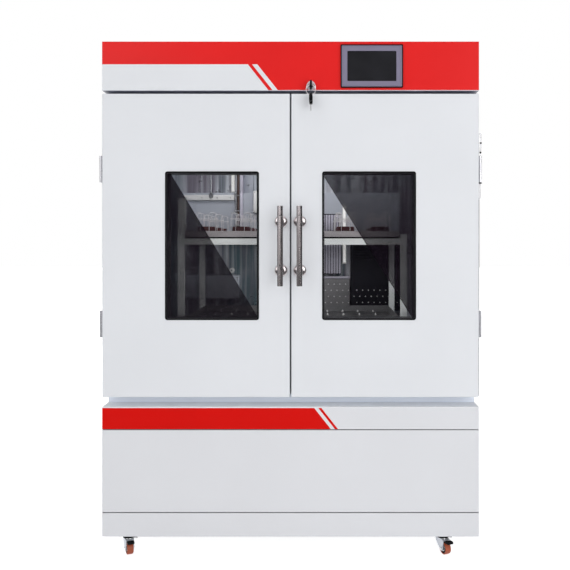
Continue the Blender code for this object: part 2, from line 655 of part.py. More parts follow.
def make_hinge(side, sign, level, height, axis):
    """A lift-off hinge: the lower half and its pin stay on the cabinet, the upper half goes with the door."""
    x, y, _ = axis
    half = HINGE_LENGTH / 2
    pin_top = HINGE_BREAK / 2 + PIN_ENGAGEMENT
    stages = [(BARREL_RADIUS, -half), (BARREL_RADIUS, -HINGE_BREAK / 2), (PIN_RADIUS, -HINGE_BREAK / 2)]
    stages.append((PIN_RADIUS, pin_top))
    knuckle = turned((x, y, height), "z", stages, COARSE_SIDES)
    fixed = add_solid(f"{side}_{level}_cabinet_hinge", knuckle, "bright_steel", about=axis)
    outside = x + sign * BARREL_RADIUS
    inside = x + sign * (BARREL_RADIUS - LEAF)
    pad = sign * (HALF_WIDTH + GAP)
    low, high = height - half, height - HINGE_BREAK / 2
    arm = box((min(inside, outside), y, low), (max(inside, outside), FRONT_STEP + PAD_WIDTH, high))
    foot = box((min(pad, outside), FRONT_STEP, low), (max(pad, outside), FRONT_STEP + PAD_WIDTH, high))
    fuse(fixed, [arm, foot])

    bore = bore_for(PIN_RADIUS, PIN_CLEARANCE, COARSE_SIDES)
    rings = [(bore, pin_top + PIN_CLEARANCE), (bore, HINGE_BREAK / 2), (BARREL_RADIUS, HINGE_BREAK / 2)]
    socket = turned((x, y, height), "z", rings + [(BARREL_RADIUS, half)], COARSE_SIDES)
    moving = add_solid(f"{side}_{level}_door_hinge", socket, "bright_steel", about=axis)
    near, far = sign * (HALF_WIDTH + GAP), sign * (HALF_WIDTH + GAP + LEAF)
    low, high = height + HINGE_BREAK / 2, height + half
    plate = box((min(near, far), y, low), (max(near, far), y + DOOR_LEAF_WIDTH, high))
    fuse(moving, [plate])


def caster_places():
    """Each caster's swivel axis, as (x, depth)."""
    places = {}
    for row, y in (("front", CASTER_BACK), ("rear", BACK - CASTER_BACK)):
        places[f"{row}_left"] = (-HALF_WIDTH + CASTER_INSETS["left"], y)
        places[f"{row}_right"] = (HALF_WIDTH - CASTER_INSETS["right"], y)
    return places


def make_caster(name, x, y):
    """In the swivel's own space the axle lies along x and the wheel trails towards -y."""
    swivel = add_empty(f"{name}_swivel", (x, y, 0), bpy.data.objects["door_plane"], CASTER_YAW)
    axle = (0, -TRAIL, WHEEL_RADIUS)
    half = WHEEL_WIDTH / 2
    inner = half + CHEEK_CLEARANCE
    outer = inner + CHEEK
    crown_top = CROWN_LOW + CROWN_THICKNESS
    race_top = UNDERSIDE - SOCKET_DROP - GAP
    column = [(RACE_RADIUS, crown_top - CROWN_THICKNESS / 2), (RACE_RADIUS, race_top)]
    column += [(STEM_RADIUS, race_top), (STEM_RADIUS, race_top + STEM_LENGTH)]
    fork = add_solid(f"{name}_fork", turned((0, 0, 0), "z", column, COARSE_SIDES), "zinc", parent=swivel)
    pieces = [box((-outer, -CROWN_AHEAD, CROWN_LOW), (outer, CROWN_BEHIND, crown_top))]
    lobe = [(u - TRAIL, v + WHEEL_RADIUS) for u, v in circle(CHEEK_LOBE, COARSE_SIDES) if v <= 0]
    shoulder = crown_top - CROWN_THICKNESS / 2
    outline = sorted(lobe) + [(CROWN_BEHIND, shoulder), (-CROWN_AHEAD, shoulder)]
    for sign in (-1, 1):
        ends = (sign * inner, sign * outer)
        pieces.append(skin([[(end, u, v) for u, v in outline] for end in ends], closed=False))
    reach = outer + AXLE_HEAD
    pieces.append(rod(axle, "x", AXLE_RADIUS, -reach, reach, COARSE_SIDES))
    fuse(fork, pieces, swivel)

    bore = bore_for(AXLE_RADIUS, PIN_CLEARANCE, FINE_SIDES)
    rim = WHEEL_RADIUS - TREAD
    recess = half - HUB_RECESS
    face = [(bore, half), (HUB_RADIUS, half), (HUB_RADIUS, recess), (rim, recess), (rim, half)]
    face += [(WHEEL_RADIUS - WHEEL_CROWN, half), (WHEEL_RADIUS, half - WHEEL_CROWN)]
    profile = face + [(radius, -far) for radius, far in reversed(face)]
    wheel = turned(axle, "x", profile, FINE_SIDES, closed=True)
    add_solid(f"{name}_wheel", wheel, "terracotta", about=axle, parent=swivel)
    if name.startswith("front"):
        pivot = (0, -PEDAL_PIVOT, PEDAL_LOW + PEDAL_ARM / 2)
        width = inner - PIN_CLEARANCE
        arm_back = PEDAL_ARM - PEDAL_PIVOT
        arm = box((-width, -PEDAL_REACH, PEDAL_LOW), (width, arm_back, PEDAL_LOW + PEDAL_ARM))
        pedal = add_solid(f"{name}_brake_pedal", arm, "black_plastic", about=pivot, parent=swivel)
        pad_low = (-width, -PEDAL_REACH, PEDAL_LOW)
        pad_high = (width, PEDAL_PAD - PEDAL_REACH, PEDAL_LOW + PEDAL_PAD_HEIGHT)
        fuse(pedal, [box(pad_low, pad_high)], swivel)


def bearing_places():
    """Each vertical shaft's axis, as (x, depth)."""
    return {"driving": (0, DRIVE_Y), "left_idler": (-IDLER_X, IDLER_Y), "right_idler": (IDLER_X, IDLER_Y)}


def make_drive():
    places = bearing_places()
    half = max(IDLER_X, MOTOR_X + MOTOR_RADIUS) + DRIVE_EDGE
    low = (-half, IDLER_Y - DRIVE_EDGE, FLOOR)
    high = (half, DRIVE_Y + MOTOR_RADIUS + DRIVE_EDGE, PLATE_TOP)
    base = add_solid("drive_base", box(low, high), "cast_metal")
    bore = bore_for(SHAFT_RADIUS, SHAFT_CLEARANCE)
    boss_low = PLATE_TOP - DRIVE_PLATE / 2
    fuse(base, [tube((x, y, 0), "z", bore, BOSS_RADIUS, boss_low, BOSS_TOP) for x, y in places.values()])

    for name, (x, y) in places.items():
        wide = FLYWHEEL_RADIUS if name == "driving" else IDLER_RADIUS
        sides = RING_STEPS if name == "driving" else SIDES
        disc = rod((x, y, 0), "z", wide, DISC_LOW, DISC_TOP, sides)
        crank = add_solid(f"{name}_eccentric", disc, "cast_metal", about=(x, y, DISC_LOW))
        shaft = rod((x, y, 0), "z", SHAFT_RADIUS, PLATE_TOP + CUP_CLEARANCE, DISC_LOW + DISC_CLEARANCE)
        pin_top = DISC_TOP + CRANK_PIN_LENGTH
        pin = rod((x, y - ORBIT, 0), "z", CRANK_PIN_RADIUS, DISC_TOP - DISC_CLEARANCE, pin_top)
        fuse(crank, [shaft, pin])

    motor_low = PLATE_TOP + GAP
    shaft_bore = bore_for(MOTOR_SHAFT_RADIUS, SHAFT_CLEARANCE)
    centre = (MOTOR_X, DRIVE_Y, 0)
    motor = tube(centre, "z", shaft_bore, MOTOR_RADIUS, motor_low, motor_low + MOTOR_HEIGHT, RING_STEPS)
    add_solid("drive_motor", motor, "black_paint")
    pulley = rod(centre, "z", PULLEY_RADIUS, DISC_LOW, DISC_TOP - DISC_CLEARANCE)
    wheel = add_solid("motor_pulley", pulley, "bright_steel", about=(MOTOR_X, DRIVE_Y, DISC_LOW))
    shaft_low = DISC_LOW - MOTOR_SHAFT_LENGTH
    fuse(wheel, [rod(centre, "z", MOTOR_SHAFT_RADIUS, shaft_low, DISC_LOW + DISC_CLEARANCE)])

    belt_low = (DISC_LOW + DISC_TOP - BELT_WIDTH) / 2
    inside, outside = belt_line(GAP), belt_line(GAP + BELT)
    stages = ((inside, 0), (outside, 0), (outside, BELT_WIDTH), (inside, BELT_WIDTH))
    rings = [[(x, y, belt_low + rise) for x, y in line] for line, rise in stages]
    add_solid("drive_belt", skin(rings, closed=True), "dark_rubber")


def belt_line(away):
    """The belt's path round both pulleys, this far from their rims, as points (x, depth)."""
    contact = acos((FLYWHEEL_RADIUS - PULLEY_RADIUS) / MOTOR_X)
    points = []
    for centre, radius, start, sweep, steps in (
        (0, FLYWHEEL_RADIUS, contact, 2 * (pi - contact), RING_STEPS),
        (MOTOR_X, PULLEY_RADIUS, -contact, 2 * contact, COARSE_SIDES),
    ):
        # The flat sides of the belt keep outside the round pulley.
        wide = (radius + away) / cos(sweep / steps / 2)
        for i in range(steps + 1):
            turn = start + sweep * i / steps
            points.append((centre + wide * cos(turn), DRIVE_Y + wide * sin(turn)))
    return points


def make_rack():
    pin = (0, PIN_Y, CUP_LOW)
    deck_low = (-RACK_HALF, RACK_FRONT - BAR / 2, DECK_LOW)
    deck = box(deck_low, (RACK_HALF, RACK_BACK + BAR / 2, DECK_LOW + RACK_DECK))
    rack = add_solid("rack_frame", deck, "white_paint", about=pin)
    pieces = []
    for x in (-RACK_X, RACK_X):
        for y in (RACK_FRONT, RACK_BACK):
            low = (x - BAR / 2, y - BAR / 2, DECK_LOW + RACK_DECK / 2)
            pieces.append(box(low, (x + BAR / 2, y + BAR / 2, POST_TOP)))
    for top in (LOWER_BAR_TOP, UPPER_BAR_TOP):
        for y in (RACK_FRONT, RACK_BACK):
            pieces.append(box((-RACK_X, y - BAR / 2, top - BAR), (RACK_X, y + BAR / 2, top)))
        for x in (-RACK_X, RACK_X):
            pieces.append(box((x - BAR / 2, RACK_FRONT, top - BAR), (x + BAR / 2, RACK_BACK, top)))
    bore = bore_for(CRANK_PIN_RADIUS, SHAFT_CLEARANCE)
    for x, y in bearing_places().values():
        height = DECK_LOW + RACK_DECK / 2
        pieces.append(tube((x, y - ORBIT, 0), "z", bore, CUP_RADIUS, CUP_LOW, height))
    fuse(rack, pieces)
    half = RACK_X - BAR / 2 - TRAY_SIDE_GAP
    for level, bar_top in (("upper", UPPER_BAR_TOP), ("lower", LOWER_BAR_TOP)):
        low = (-half, RACK_FRONT - BAR / 2, bar_top + GAP)
        high = (half, RACK_BACK + BAR / 2, bar_top + TRAY_LIP)
        pan(f"{level}_tray", low, high, ["+z"], "tray_metal", TRAY_SHEET)


def make_services():
    back = LINER_BACK - SHEET - GAP
    front = back - DUCT_DEPTH
    low, high = (-DUCT_WIDTH / 2, front, DUCT_LOW), (DUCT_WIDTH / 2, back, DUCT_HIGH)
    duct = pan("air_duct_cover", low, high, ["+y"], "stainless")
    cut(duct, [rod((0, front, FAN_Z), "y", INLET_RADIUS, -OVERRUN, SHEET + OVERRUN, RING_STEPS)])

    hub_low = front + FAN_SET_BACK
    centre = (0, hub_low, FAN_Z)
    hub = rod(centre, "y", FAN_HUB_RADIUS, 0, FAN_HUB, COARSE_SIDES)
    fan = add_solid("circulation_fan", hub, "black_plastic", about=centre)
    blades = [rod(centre, "y", FAN_SHAFT_RADIUS, FAN_HUB / 2, FAN_HUB + FAN_SHAFT_LENGTH, COARSE_SIDES)]
    for i in range(FAN_BLADES):
        chord, thickness = FAN_BLADE_CHORD / 2, FAN_BLADE / 2
        blade = box((0, -chord, -thickness), (FAN_RADIUS, chord, thickness))
        pitch = Matrix.Rotation(pi / 2 - FAN_PITCH, 4, "X")
        turn = Matrix.Rotation(2 * pi * i / FAN_BLADES, 4, "Y")
        middle = Matrix.Translation((0, hub_low + FAN_HUB / 2, FAN_Z))
        bmesh.ops.transform(blade, matrix=middle @ turn @ pitch, verts=blade.verts)
        blades.append(blade)
    fuse(fan, blades)

    floor = UNDERSIDE + SHEET / 2 + FRAME_SHEET + GAP
    shoulder = COMPRESSOR_HEIGHT - COMPRESSOR_DOME
    profile = [(COMPRESSOR_FOOT_RADIUS, 0), (COMPRESSOR_FOOT_RADIUS, COMPRESSOR_FOOT)]
    profile += [(COMPRESSOR_RADIUS, COMPRESSOR_FOOT), (COMPRESSOR_RADIUS, shoulder)]
    for i in range(1, CORNER_STEPS):
        turn = pi / 2 * i / CORNER_STEPS
        profile.append((COMPRESSOR_RADIUS * cos(turn), shoulder + COMPRESSOR_DOME * sin(turn)))
    can = turned((COMPRESSOR_X, COMPRESSOR_Y, floor), "z", profile, RING_STEPS)
    add_solid("compressor", can, "black_paint")

    plug = (POWER_WIDTH / 2, POWER_HEIGHT / 2, POWER_RADIUS)
    socket = (plug[0] - POWER_WALL, plug[1] - POWER_WALL, POWER_RADIUS)
    face = BACK - GAP
    stages = ((plug, face - POWER_DEPTH), (plug, face), (socket, face), (socket, face - POWER_SOCKET))
    rings = [upright(POWER_X, POWER_Z, *size, depth) for size, depth in stages]
    add_solid("power_inlet", skin(rings, closed=False), "black_plastic")


def main():
    for obj in list(bpy.data.objects):
        bpy.data.objects.remove(obj)
    add_empty("door_plane", (0, FRONT_Y, 0))
    make_casing()
    make_base()
    make_header()
    make_lock()
    for side, sign in (("left", -1), ("right", 1)):
        make_door(side, sign)
    for name, (x, y) in caster_places().items():
        make_caster(name, x, y)
    make_drive()
    make_rack()
    make_services()


main()
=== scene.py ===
"""The looks of a floor-standing incubated shaker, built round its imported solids.

Metres, +Z up. The doors face -Y, and the origin is on the floor under the middle of the whole object.
"""

import json
from functools import partialmethod
from itertools import product
from math import cos, pi, radians, sin

import bmesh
import bpy
from mathutils import Matrix, Vector


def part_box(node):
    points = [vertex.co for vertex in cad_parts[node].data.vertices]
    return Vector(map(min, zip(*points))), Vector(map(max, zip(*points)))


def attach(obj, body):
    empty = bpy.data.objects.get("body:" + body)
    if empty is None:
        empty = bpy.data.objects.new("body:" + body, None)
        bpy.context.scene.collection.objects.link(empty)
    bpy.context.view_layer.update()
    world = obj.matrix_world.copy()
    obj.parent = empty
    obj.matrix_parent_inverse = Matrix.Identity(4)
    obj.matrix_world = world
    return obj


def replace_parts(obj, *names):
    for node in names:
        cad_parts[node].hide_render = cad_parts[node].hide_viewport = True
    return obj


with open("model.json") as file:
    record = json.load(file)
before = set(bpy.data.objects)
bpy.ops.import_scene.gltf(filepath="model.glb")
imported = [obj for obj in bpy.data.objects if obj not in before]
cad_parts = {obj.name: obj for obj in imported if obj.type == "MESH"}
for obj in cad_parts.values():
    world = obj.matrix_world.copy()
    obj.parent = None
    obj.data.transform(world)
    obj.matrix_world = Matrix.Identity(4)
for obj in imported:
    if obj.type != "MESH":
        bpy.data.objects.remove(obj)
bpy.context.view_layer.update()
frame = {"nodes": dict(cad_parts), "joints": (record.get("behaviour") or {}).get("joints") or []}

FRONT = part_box("left_door_shell")[0].y  # the plane of the doors' front face
SIDES = (("left", "-x", -1), ("right", "+x", 1))
SMOOTH_ANGLE = radians(35)


# Materials


class Wiring:
    """A node tree with short calls for its nodes. Values are numbers, colours or other nodes' outputs."""

    def __init__(self, tree):
        self.tree = tree

    def feed(self, socket, value):
        if isinstance(value, bpy.types.NodeSocket):
            self.tree.links.new(value, socket)
        else:
            socket.default_value = value

    def node(self, kind, *values):
        made = self.tree.nodes.new(f"ShaderNode{kind}")
        for socket, value in zip(made.inputs, values):
            self.feed(socket, value)
        return made

    def math(self, operation, *values):
        made = self.node("Math", *values)
        made.operation = operation
        return made.outputs[0]

    times = partialmethod(math, "MULTIPLY")
    plus = partialmethod(math, "ADD")
    minus = partialmethod(math, "SUBTRACT")
    above = partialmethod(math, "GREATER_THAN")
    below = partialmethod(math, "LESS_THAN")
    most = partialmethod(math, "MAXIMUM")

    def length(self, *values):
        return self.math("SQRT", self.plus(*(self.times(v, v) for v in values)))

    def spread(self, value, low, high, from_low=0.3, from_high=0.7):
        return self.node("MapRange", value, from_low, from_high, low, high).outputs[0]

    def between(self, value, low, high):
        return self.times(self.above(value, low), self.below(value, high))


class Finish(Wiring):
    """A material as it is wired up. Its coordinates are the part's own, in metres."""

    def __init__(self, roughness=0.5, metallic=0.0):
        self.material = bpy.data.materials.new("finish")
        self.material.use_nodes = True
        super().__init__(self.material.node_tree)
        self.shader = self.tree.nodes["Principled BSDF"]
        self.place = self.node("TexCoord").outputs["Object"]
        self.set("Roughness", roughness)
        self.set("Metallic", metallic)

    def set(self, name, value):
        self.feed(self.shader.inputs[name], value)
        return self

    def axes(self):
        return self.node("SeparateXYZ", self.place).outputs

    def noise(self, scale, detail=2.0, stretch=(1, 1, 1)):
        """Noise from 0 to 1 with scale features a metre, drawn out along an axis whose stretch is small."""
        mapping = self.node("Mapping", self.place)
        mapping.inputs["Scale"].default_value = [scale * s for s in stretch]
        made = self.node("TexNoise", mapping.outputs[0])
        made.inputs["Scale"].default_value = 1
        made.inputs["Detail"].default_value = detail
        return made.outputs["Fac"]

    def level(self):
        """1 where the surface lies flat, as a floor, deck or ceiling does."""
        normal = self.node("SeparateXYZ", self.node("NewGeometry").outputs["True Normal"])
        return self.above(self.math("ABSOLUTE", normal.outputs[2]), 0.7)

    def mix(self, share, first, second):
        made = self.node("Mix")
        made.data_type = "RGBA"
        for index, value in ((0, share), (6, first), (7, second)):
            if isinstance(value, tuple) and len(value) == 3:
                value = (*value, 1)
            self.feed(made.inputs[index], value)
        return made.outputs[2]

    def tinted(self, colour, fac, depth):
        """A colour, darker by up to depth where fac is low."""
        dark = tuple(c * (1 - depth) for c in colour)
        return self.mix(fac, dark, colour)

    def bump(self, height, distance, rounding=0.0):
        made = self.node("Bump")
        self.feed(made.inputs["Height"], height)
        made.inputs["Distance"].default_value = distance
        if rounding:
            edge = self.node("Bevel", rounding)
            edge.samples = 4
            self.feed(made.inputs["Normal"], edge.outputs[0])
        return self.set("Normal", made.outputs[0])


PAINT_GLOSS = 0.14
RED_ROUGHNESS = (0.28, 0.38)


def painted(colour, roughness=(0.29, 0.40), second=None, regions=None, painted_shading=()):
    """Powder coat: fine orange peel and the faintest cloudiness.

    regions wires the share of a second colour from the surface's own x and z, and each trim is painted shade or
    painted light, a colour laid between two heights.
    """
    f = Finish()
    x, _, z = f.axes()
    cloud = f.spread(f.noise(3.0, 3), 0, 1)
    coat = f.tinted(colour, cloud, 0.03)
    if second:
        coat = f.mix(regions(f, x, z), coat, f.tinted(second, cloud, 0.06))
    for low, high, shade in painted_shading:
        coat = f.mix(f.between(z, low, high), coat, shade)
    f.set("Base Color", coat)
    f.set("Roughness", f.spread(f.noise(60, 3), *roughness))
    f.set("Specular IOR Level", PAINT_GLOSS)
    return f.bump(f.noise(420, 2), 0.00012, 0.0015).material


def brushed(colour, roughness, along, depth=0.10, bump=0.00003, rounding=0.0006, metallic=1.0, grain=1600):
    """Metal with a grain along one axis."""
    stretch = [0.012 if axis == along else 1 for axis in "xyz"]
    f = Finish(metallic=metallic)
    fine = f.noise(grain, 3, stretch)
    broad = f.noise(90, 3, stretch)
    both = f.plus(f.times(fine, 0.6), f.times(broad, 0.4))
    f.set("Base Color", f.tinted(colour, f.spread(both, 0, 1), depth))
    f.set("Roughness", f.spread(fine, roughness - 0.07, roughness + 0.09))
    return f.bump(both, bump, rounding).material


def moulded(colour, roughness=0.5, grain=900, bump=0.00006, depth=0.12, gloss=0.4):
    """Plastic or rubber with a fine moulded grain."""
    f = Finish()
    f.set("Specular IOR Level", gloss)
    f.set("Base Color", f.tinted(colour, f.spread(f.noise(14, 3), 0, 1), depth))
    f.set("Roughness", f.spread(f.noise(120, 3), roughness - 0.07, roughness + 0.08))
    return f.bump(f.noise(grain, 2), bump, 0.0004).material


def cast(colour, roughness=0.6, metallic=0.8, bump=0.0004):
    """Cast metal or thick enamel, mottled and rough."""
    f = Finish(metallic=metallic)
    f.set("Base Color", f.tinted(colour, f.spread(f.noise(40, 4), 0, 1), 0.3))
    f.set("Roughness", f.spread(f.noise(90, 3), roughness - 0.1, roughness + 0.12))
    return f.bump(f.noise(260, 4), bump, 0.001).material


WHITE = (0.735, 0.752, 0.785)
BASE_WHITE = (0.705, 0.715, 0.745)
RED = (0.75, 0.017, 0.017)
BAND_RED = (0.66, 0.003, 0.001)
BLACK = (0.006, 0.006, 0.007)
STEEL = (0.34, 0.325, 0.33)

# Painted shading, each a colour between two heights: painted shade in the seams and under the header, and
# painted light on the band's ledge
SEAM_SHADE = (0.16, 0.16, 0.18)
SKIRT_SEAM_SHADE = (0.1500, 0.1522, SEAM_SHADE)
BAND_SEAM_SHADE = (0.4270, 0.4292, SEAM_SHADE)
# The band's ledge is near white on top: painted light on its upper face, which the doors overhang
BAND_LEDGE_LIGHT = (0.5034, 1.0, (0.95, 0.97, 1.0))
# The header's underside is dark navy: painted shade under the header
HEADER_UNDERSIDE_SHADE = (1.0, 1.5612, (0.24, 0.25, 0.33))

# The painted bands: the red's edge, where its slanting end starts and how it leans, and the stripe past it
HEADER_LIP_Z = 1.5628
HEADER_SPLIT_Z = 1.649
HEADER_SLANT = (-0.1428, 0.795)
HEADER_STRIPE = (0.0139, 0.0315)
BAND_SPLIT_Z = 0.500
BAND_SLANT = (0.0794, 0.786)
BAND_STRIPE = (0.0133, 0.0239)


def past_slant(f, x, z, top, slant):
    """How far x lies past a line that leans right as it runs down from (slant[0], top)."""
    line = f.plus(f.times(f.minus(top, z), slant[1]), slant[0])
    return f.minus(x, line)


def header_regions(f, x, z):
    past = past_slant(f, x, z, HEADER_SPLIT_Z, HEADER_SLANT)
    pale = f.plus(f.below(past, 0), f.between(past, *HEADER_STRIPE))
    below = f.below(z, HEADER_SPLIT_Z)
    red = f.minus(1, f.times(pale, below))
    return f.times(red, f.above(z, HEADER_LIP_Z))


def band_regions(f, x, z):
    past = past_slant(f, x, z, BAND_SPLIT_Z, BAND_SLANT)
    red = f.plus(f.below(past, 0), f.between(past, *BAND_STRIPE))
    return f.times(red, f.below(z, BAND_SPLIT_Z))


def stainless_wall():
    """Sheet with an upright grain. The teal, mauve and near-white of its streaks are painted reflections, with
    darker clouds over them.
    """
    f = Finish(metallic=0.55)
    fine = f.noise(900, 3, (1, 1, 0.01))
    streak_and_reflection = f.noise(42, 4, (1, 1, 0.035))
    broad = f.noise(11, 3, (1, 1, 0.10))
    smear = f.noise(9, 4, (1, 1, 0.7))
    # The teal, mauve and near-white in these streaks are painted reflections
    reflected_teal = f.mix(f.spread(broad, 0, 1, 0.42, 0.58), (0.15, 0.22, 0.25), (0.27, 0.24, 0.29))
    sheet = f.mix(f.spread(streak_and_reflection, 0, 1, 0.42, 0.66), reflected_teal, (0.72, 0.75, 0.80))
    sheet = f.mix(f.spread(smear, 0, 0.5, 0.5, 0.7), sheet, (0.42, 0.42, 0.47))
    level = f.level()
    flat = f.tinted((0.36, 0.37, 0.40), f.spread(f.noise(60, 3, (0.03, 1, 1)), 0, 1), 0.2)
    f.set("Base Color", f.mix(level, sheet, flat))
    f.set("Roughness", f.spread(smear, 0.22, 0.42))
    both = f.plus(f.times(fine, 0.1), f.plus(streak_and_reflection, f.times(smear, 1.5)))
    both = f.times(both, f.minus(1, level))
    return f.bump(both, 0.0009).material


def parted(below, above, axis, split):
    """Black plastic and nickelled steel, one below split along an axis and the other above it."""
    f = Finish()
    share = f.above(f.axes()["xyz".index(axis)], split)
    cloud = f.spread(f.noise(60, 3), 0, 1)
    f.set("Base Color", f.mix(share, f.tinted(below, cloud, 0.1), f.tinted(above, cloud, 0.1)))
    f.set("Metallic", share if above is STEEL else f.minus(1, share))
    f.set("Specular IOR Level", 0.12)
    f.set("Roughness", f.spread(f.noise(300, 3), 0.3, 0.45))
    return f.bump(f.noise(900, 2), 0.00004, 0.0003).material


TRAY_PITCH = 0.030
TRAY_HOLE = 0.0030


def tray_sheet(colour=(0.20, 0.185, 0.18), lip=(0.62, 0.58, 0.60)):
    """Sheet whose flat deck is darker than its lip, with rows of small holes for clamps."""
    f = Finish(metallic=0.45)
    x, y, _ = f.axes()
    across = [f.math("PINGPONG", v, TRAY_PITCH / 2) for v in (x, y)]
    hole = f.below(f.length(*across), TRAY_HOLE)
    grain = f.noise(500, 3, (1, 0.03, 1))
    share = f.spread(grain, 0, 1)
    deck = f.mix(hole, f.tinted(colour, share, 0.2), (0.01, 0.01, 0.01))
    f.set("Base Color", f.mix(f.level(), f.tinted(lip, share, 0.25), deck))
    f.set("Roughness", f.spread(f.noise(40, 3), 0.3, 0.5))
    return f.bump(grain, 0.00004, 0.0008).material


# A tint is the share of the light behind it that each face of a pane takes. The dark tints are those of the
# half with a painted dark reflection, below and above a blend between two heights. GLASS_SPLITS are the ends of
# the line between the halves.
CLEAR_TINT = 0.045
DARK_REFLECTION_TINTS = {"left": (0.58, 0.67), "right": (0.60, 0.585)}
TINT_CHANGE = (1.02, 1.09)
GLASS_SPLITS = {
    "left": ((-0.4055, 1.291), (-0.1055, 0.797)),
    "right": ((0.1055, 1.283), (0.4155, 0.787)),
}


def glazing(side=None):
    """Clear glass, or glass whose one half carries a painted dark reflection. Light meets a pane's tint at each
    of its two faces.
    """
    f = Finish()
    f.set("Base Color", (0.0055, 0.0032, 0.0065, 1))
    f.set("Specular IOR Level", 0.35)
    f.set("Roughness", f.spread(f.noise(5, 2), 0.01, 0.04))
    if side is None:
        return f.set("Alpha", 0.02).material
    (x0, z0), (x1, z1) = GLASS_SPLITS[side]
    x, _, z = f.axes()
    rise = f.times(f.minus(x, x0), (z1 - z0) / (x1 - x0))
    above = f.above(z, f.plus(rise, z0))
    # the half that carries the painted dark reflection
    dark_reflection_half = f.minus(1, above) if side == "left" else above
    tint = f.spread(z, *DARK_REFLECTION_TINTS[side], *TINT_CHANGE)
    cloud = f.spread(f.noise(6, 2), -0.01, 0.01)
    dark_reflection = f.times(dark_reflection_half, f.minus(tint, CLEAR_TINT))
    return f.set("Alpha", f.plus(dark_reflection, f.plus(cloud, CLEAR_TINT))).material


def display_glass():
    """A dark screen, faintly clouded."""
    f = Finish()
    f.set("Base Color", f.mix(f.spread(f.noise(9, 2), 0, 1), (0.013, 0.013, 0.015), (0.020, 0.020, 0.024)))
    return f.set("Roughness", f.spread(f.noise(30, 3), 0.08, 0.16)).material


def glowing(colour, strength):
    """A diffuser with a lamp behind it."""
    f = Finish(0.4)
    f.set("Base Color", f.mix(f.spread(f.noise(20, 2), 0, 1), (0.75, 0.75, 0.75), (0.85, 0.85, 0.85)))
    f.set("Emission Color", (*colour, 1))
    return f.set("Emission Strength", strength).material


FINISHES = {
    # Paint
    "white": painted(WHITE),
    "base_white": painted(BASE_WHITE, painted_shading=[SKIRT_SEAM_SHADE]),
    # The front frame's white is lighter and bluer than the cabinet's: painted light in the recess round the
    # doors
    "frame_white": painted((0.78, 0.83, 0.92)),
    "rack_paint": painted((0.93, 0.96, 0.95), (0.35, 0.46)),
    "header": painted(WHITE, RED_ROUGHNESS, RED, header_regions, [HEADER_UNDERSIDE_SHADE]),
    "band": painted(BASE_WHITE, RED_ROUGHNESS, BAND_RED, band_regions, [BAND_SEAM_SHADE, BAND_LEDGE_LIGHT]),
    # Metal
    "liner": stainless_wall(),
    "duct": brushed((0.57, 0.60, 0.67), 0.36, "x", 0.12, metallic=0.4),
    "fin": brushed((0.60, 0.58, 0.68), 0.4, "z", 0.15, metallic=0.2),
    "dark_cover": brushed((0.27, 0.265, 0.275), 0.4, "x", 0.35, metallic=0.2),
    "reveal": brushed((0.06, 0.06, 0.067), 0.45, "x", 0.2, metallic=0.2),
    "tray": tray_sheet(),
    "lower_tray": tray_sheet((0.115, 0.115, 0.12), (0.26, 0.26, 0.27)),
    "handle": brushed((0.51, 0.465, 0.475), 0.20, "z", 0.5, 0.000004, 0, grain=380),
    "rose": brushed((0.58, 0.53, 0.54), 0.20, "z", 0.3, 0.000004, 0),
    "hinge": brushed((0.80, 0.80, 0.84), 0.26, "z", 0.10, metallic=0.8),
    "key": parted(BLACK, STEEL, "y", -0.3728),
    "spare": parted(STEEL, BLACK, "z", 1.511),
    "ring": brushed((0.88, 0.83, 0.86), 0.3, "x", 0.1, 0.00001, metallic=0.15),
    "nickel": brushed((0.72, 0.66, 0.70), 0.25, "x", 0.4, 0.00001, metallic=0.35),
    "zinc": brushed((0.70, 0.73, 0.79), 0.34, "z", 0.2, metallic=0.5),
    "chrome": brushed((0.78, 0.78, 0.79), 0.10, "x", 0.08, 0.000005),
    "bolt": brushed((0.62, 0.62, 0.63), 0.28, "x", 0.15),
    "spring": brushed((0.86, 0.84, 0.86), 0.30, "z", 0.10, metallic=0.2),
    "brass": brushed((0.60, 0.42, 0.18), 0.3, "y"),
    "pipe": brushed((0.15, 0.105, 0.095), 0.35, "x", 0.3, metallic=0.4),
    "pulley": brushed((0.60, 0.60, 0.60), 0.28, "z"),
    "cast": cast((0.16, 0.17, 0.18)),
    "black_metal": cast((0.018, 0.018, 0.02), 0.4, 0.0, 0.0002),
    # Plastic and rubber
    "white_plastic": moulded((0.70, 0.70, 0.70), 0.45, 900, 0.00004, 0.05),
    "bezel": moulded((0.205, 0.188, 0.272), 0.45, 1200, 0.00003, 0.06),
    "black": moulded(BLACK, 0.5, gloss=0.1),
    "socket": moulded((0.02, 0.02, 0.02), 0.5),
    "guard": moulded((0.012, 0.012, 0.017), 0.45, gloss=0.3),
    "rubber": moulded((0.005, 0.005, 0.006), 0.6, gloss=0.12),
    "gasket": moulded((0.42, 0.43, 0.46), 0.65),
    "belt": moulded((0.015, 0.015, 0.015), 0.7, 400, 0.0002),
    "brown_rubber": moulded((0.075, 0.022, 0.024), 0.55, 500, 0.0001, 0.3),
    "tyre": moulded((0.40, 0.085, 0.035), 0.42, 500, 0.0001, 0.2),
    # Glass and light
    "screen": display_glass(),
    "pane_clear": glazing(),
    "pane_left": glazing("left"),
    "pane_right": glazing("right"),
    "lamp": glowing((1.0, 0.98, 0.95), 0.35),
}
for finish, material in FINISHES.items():
    material.name = f"{finish}_finish"

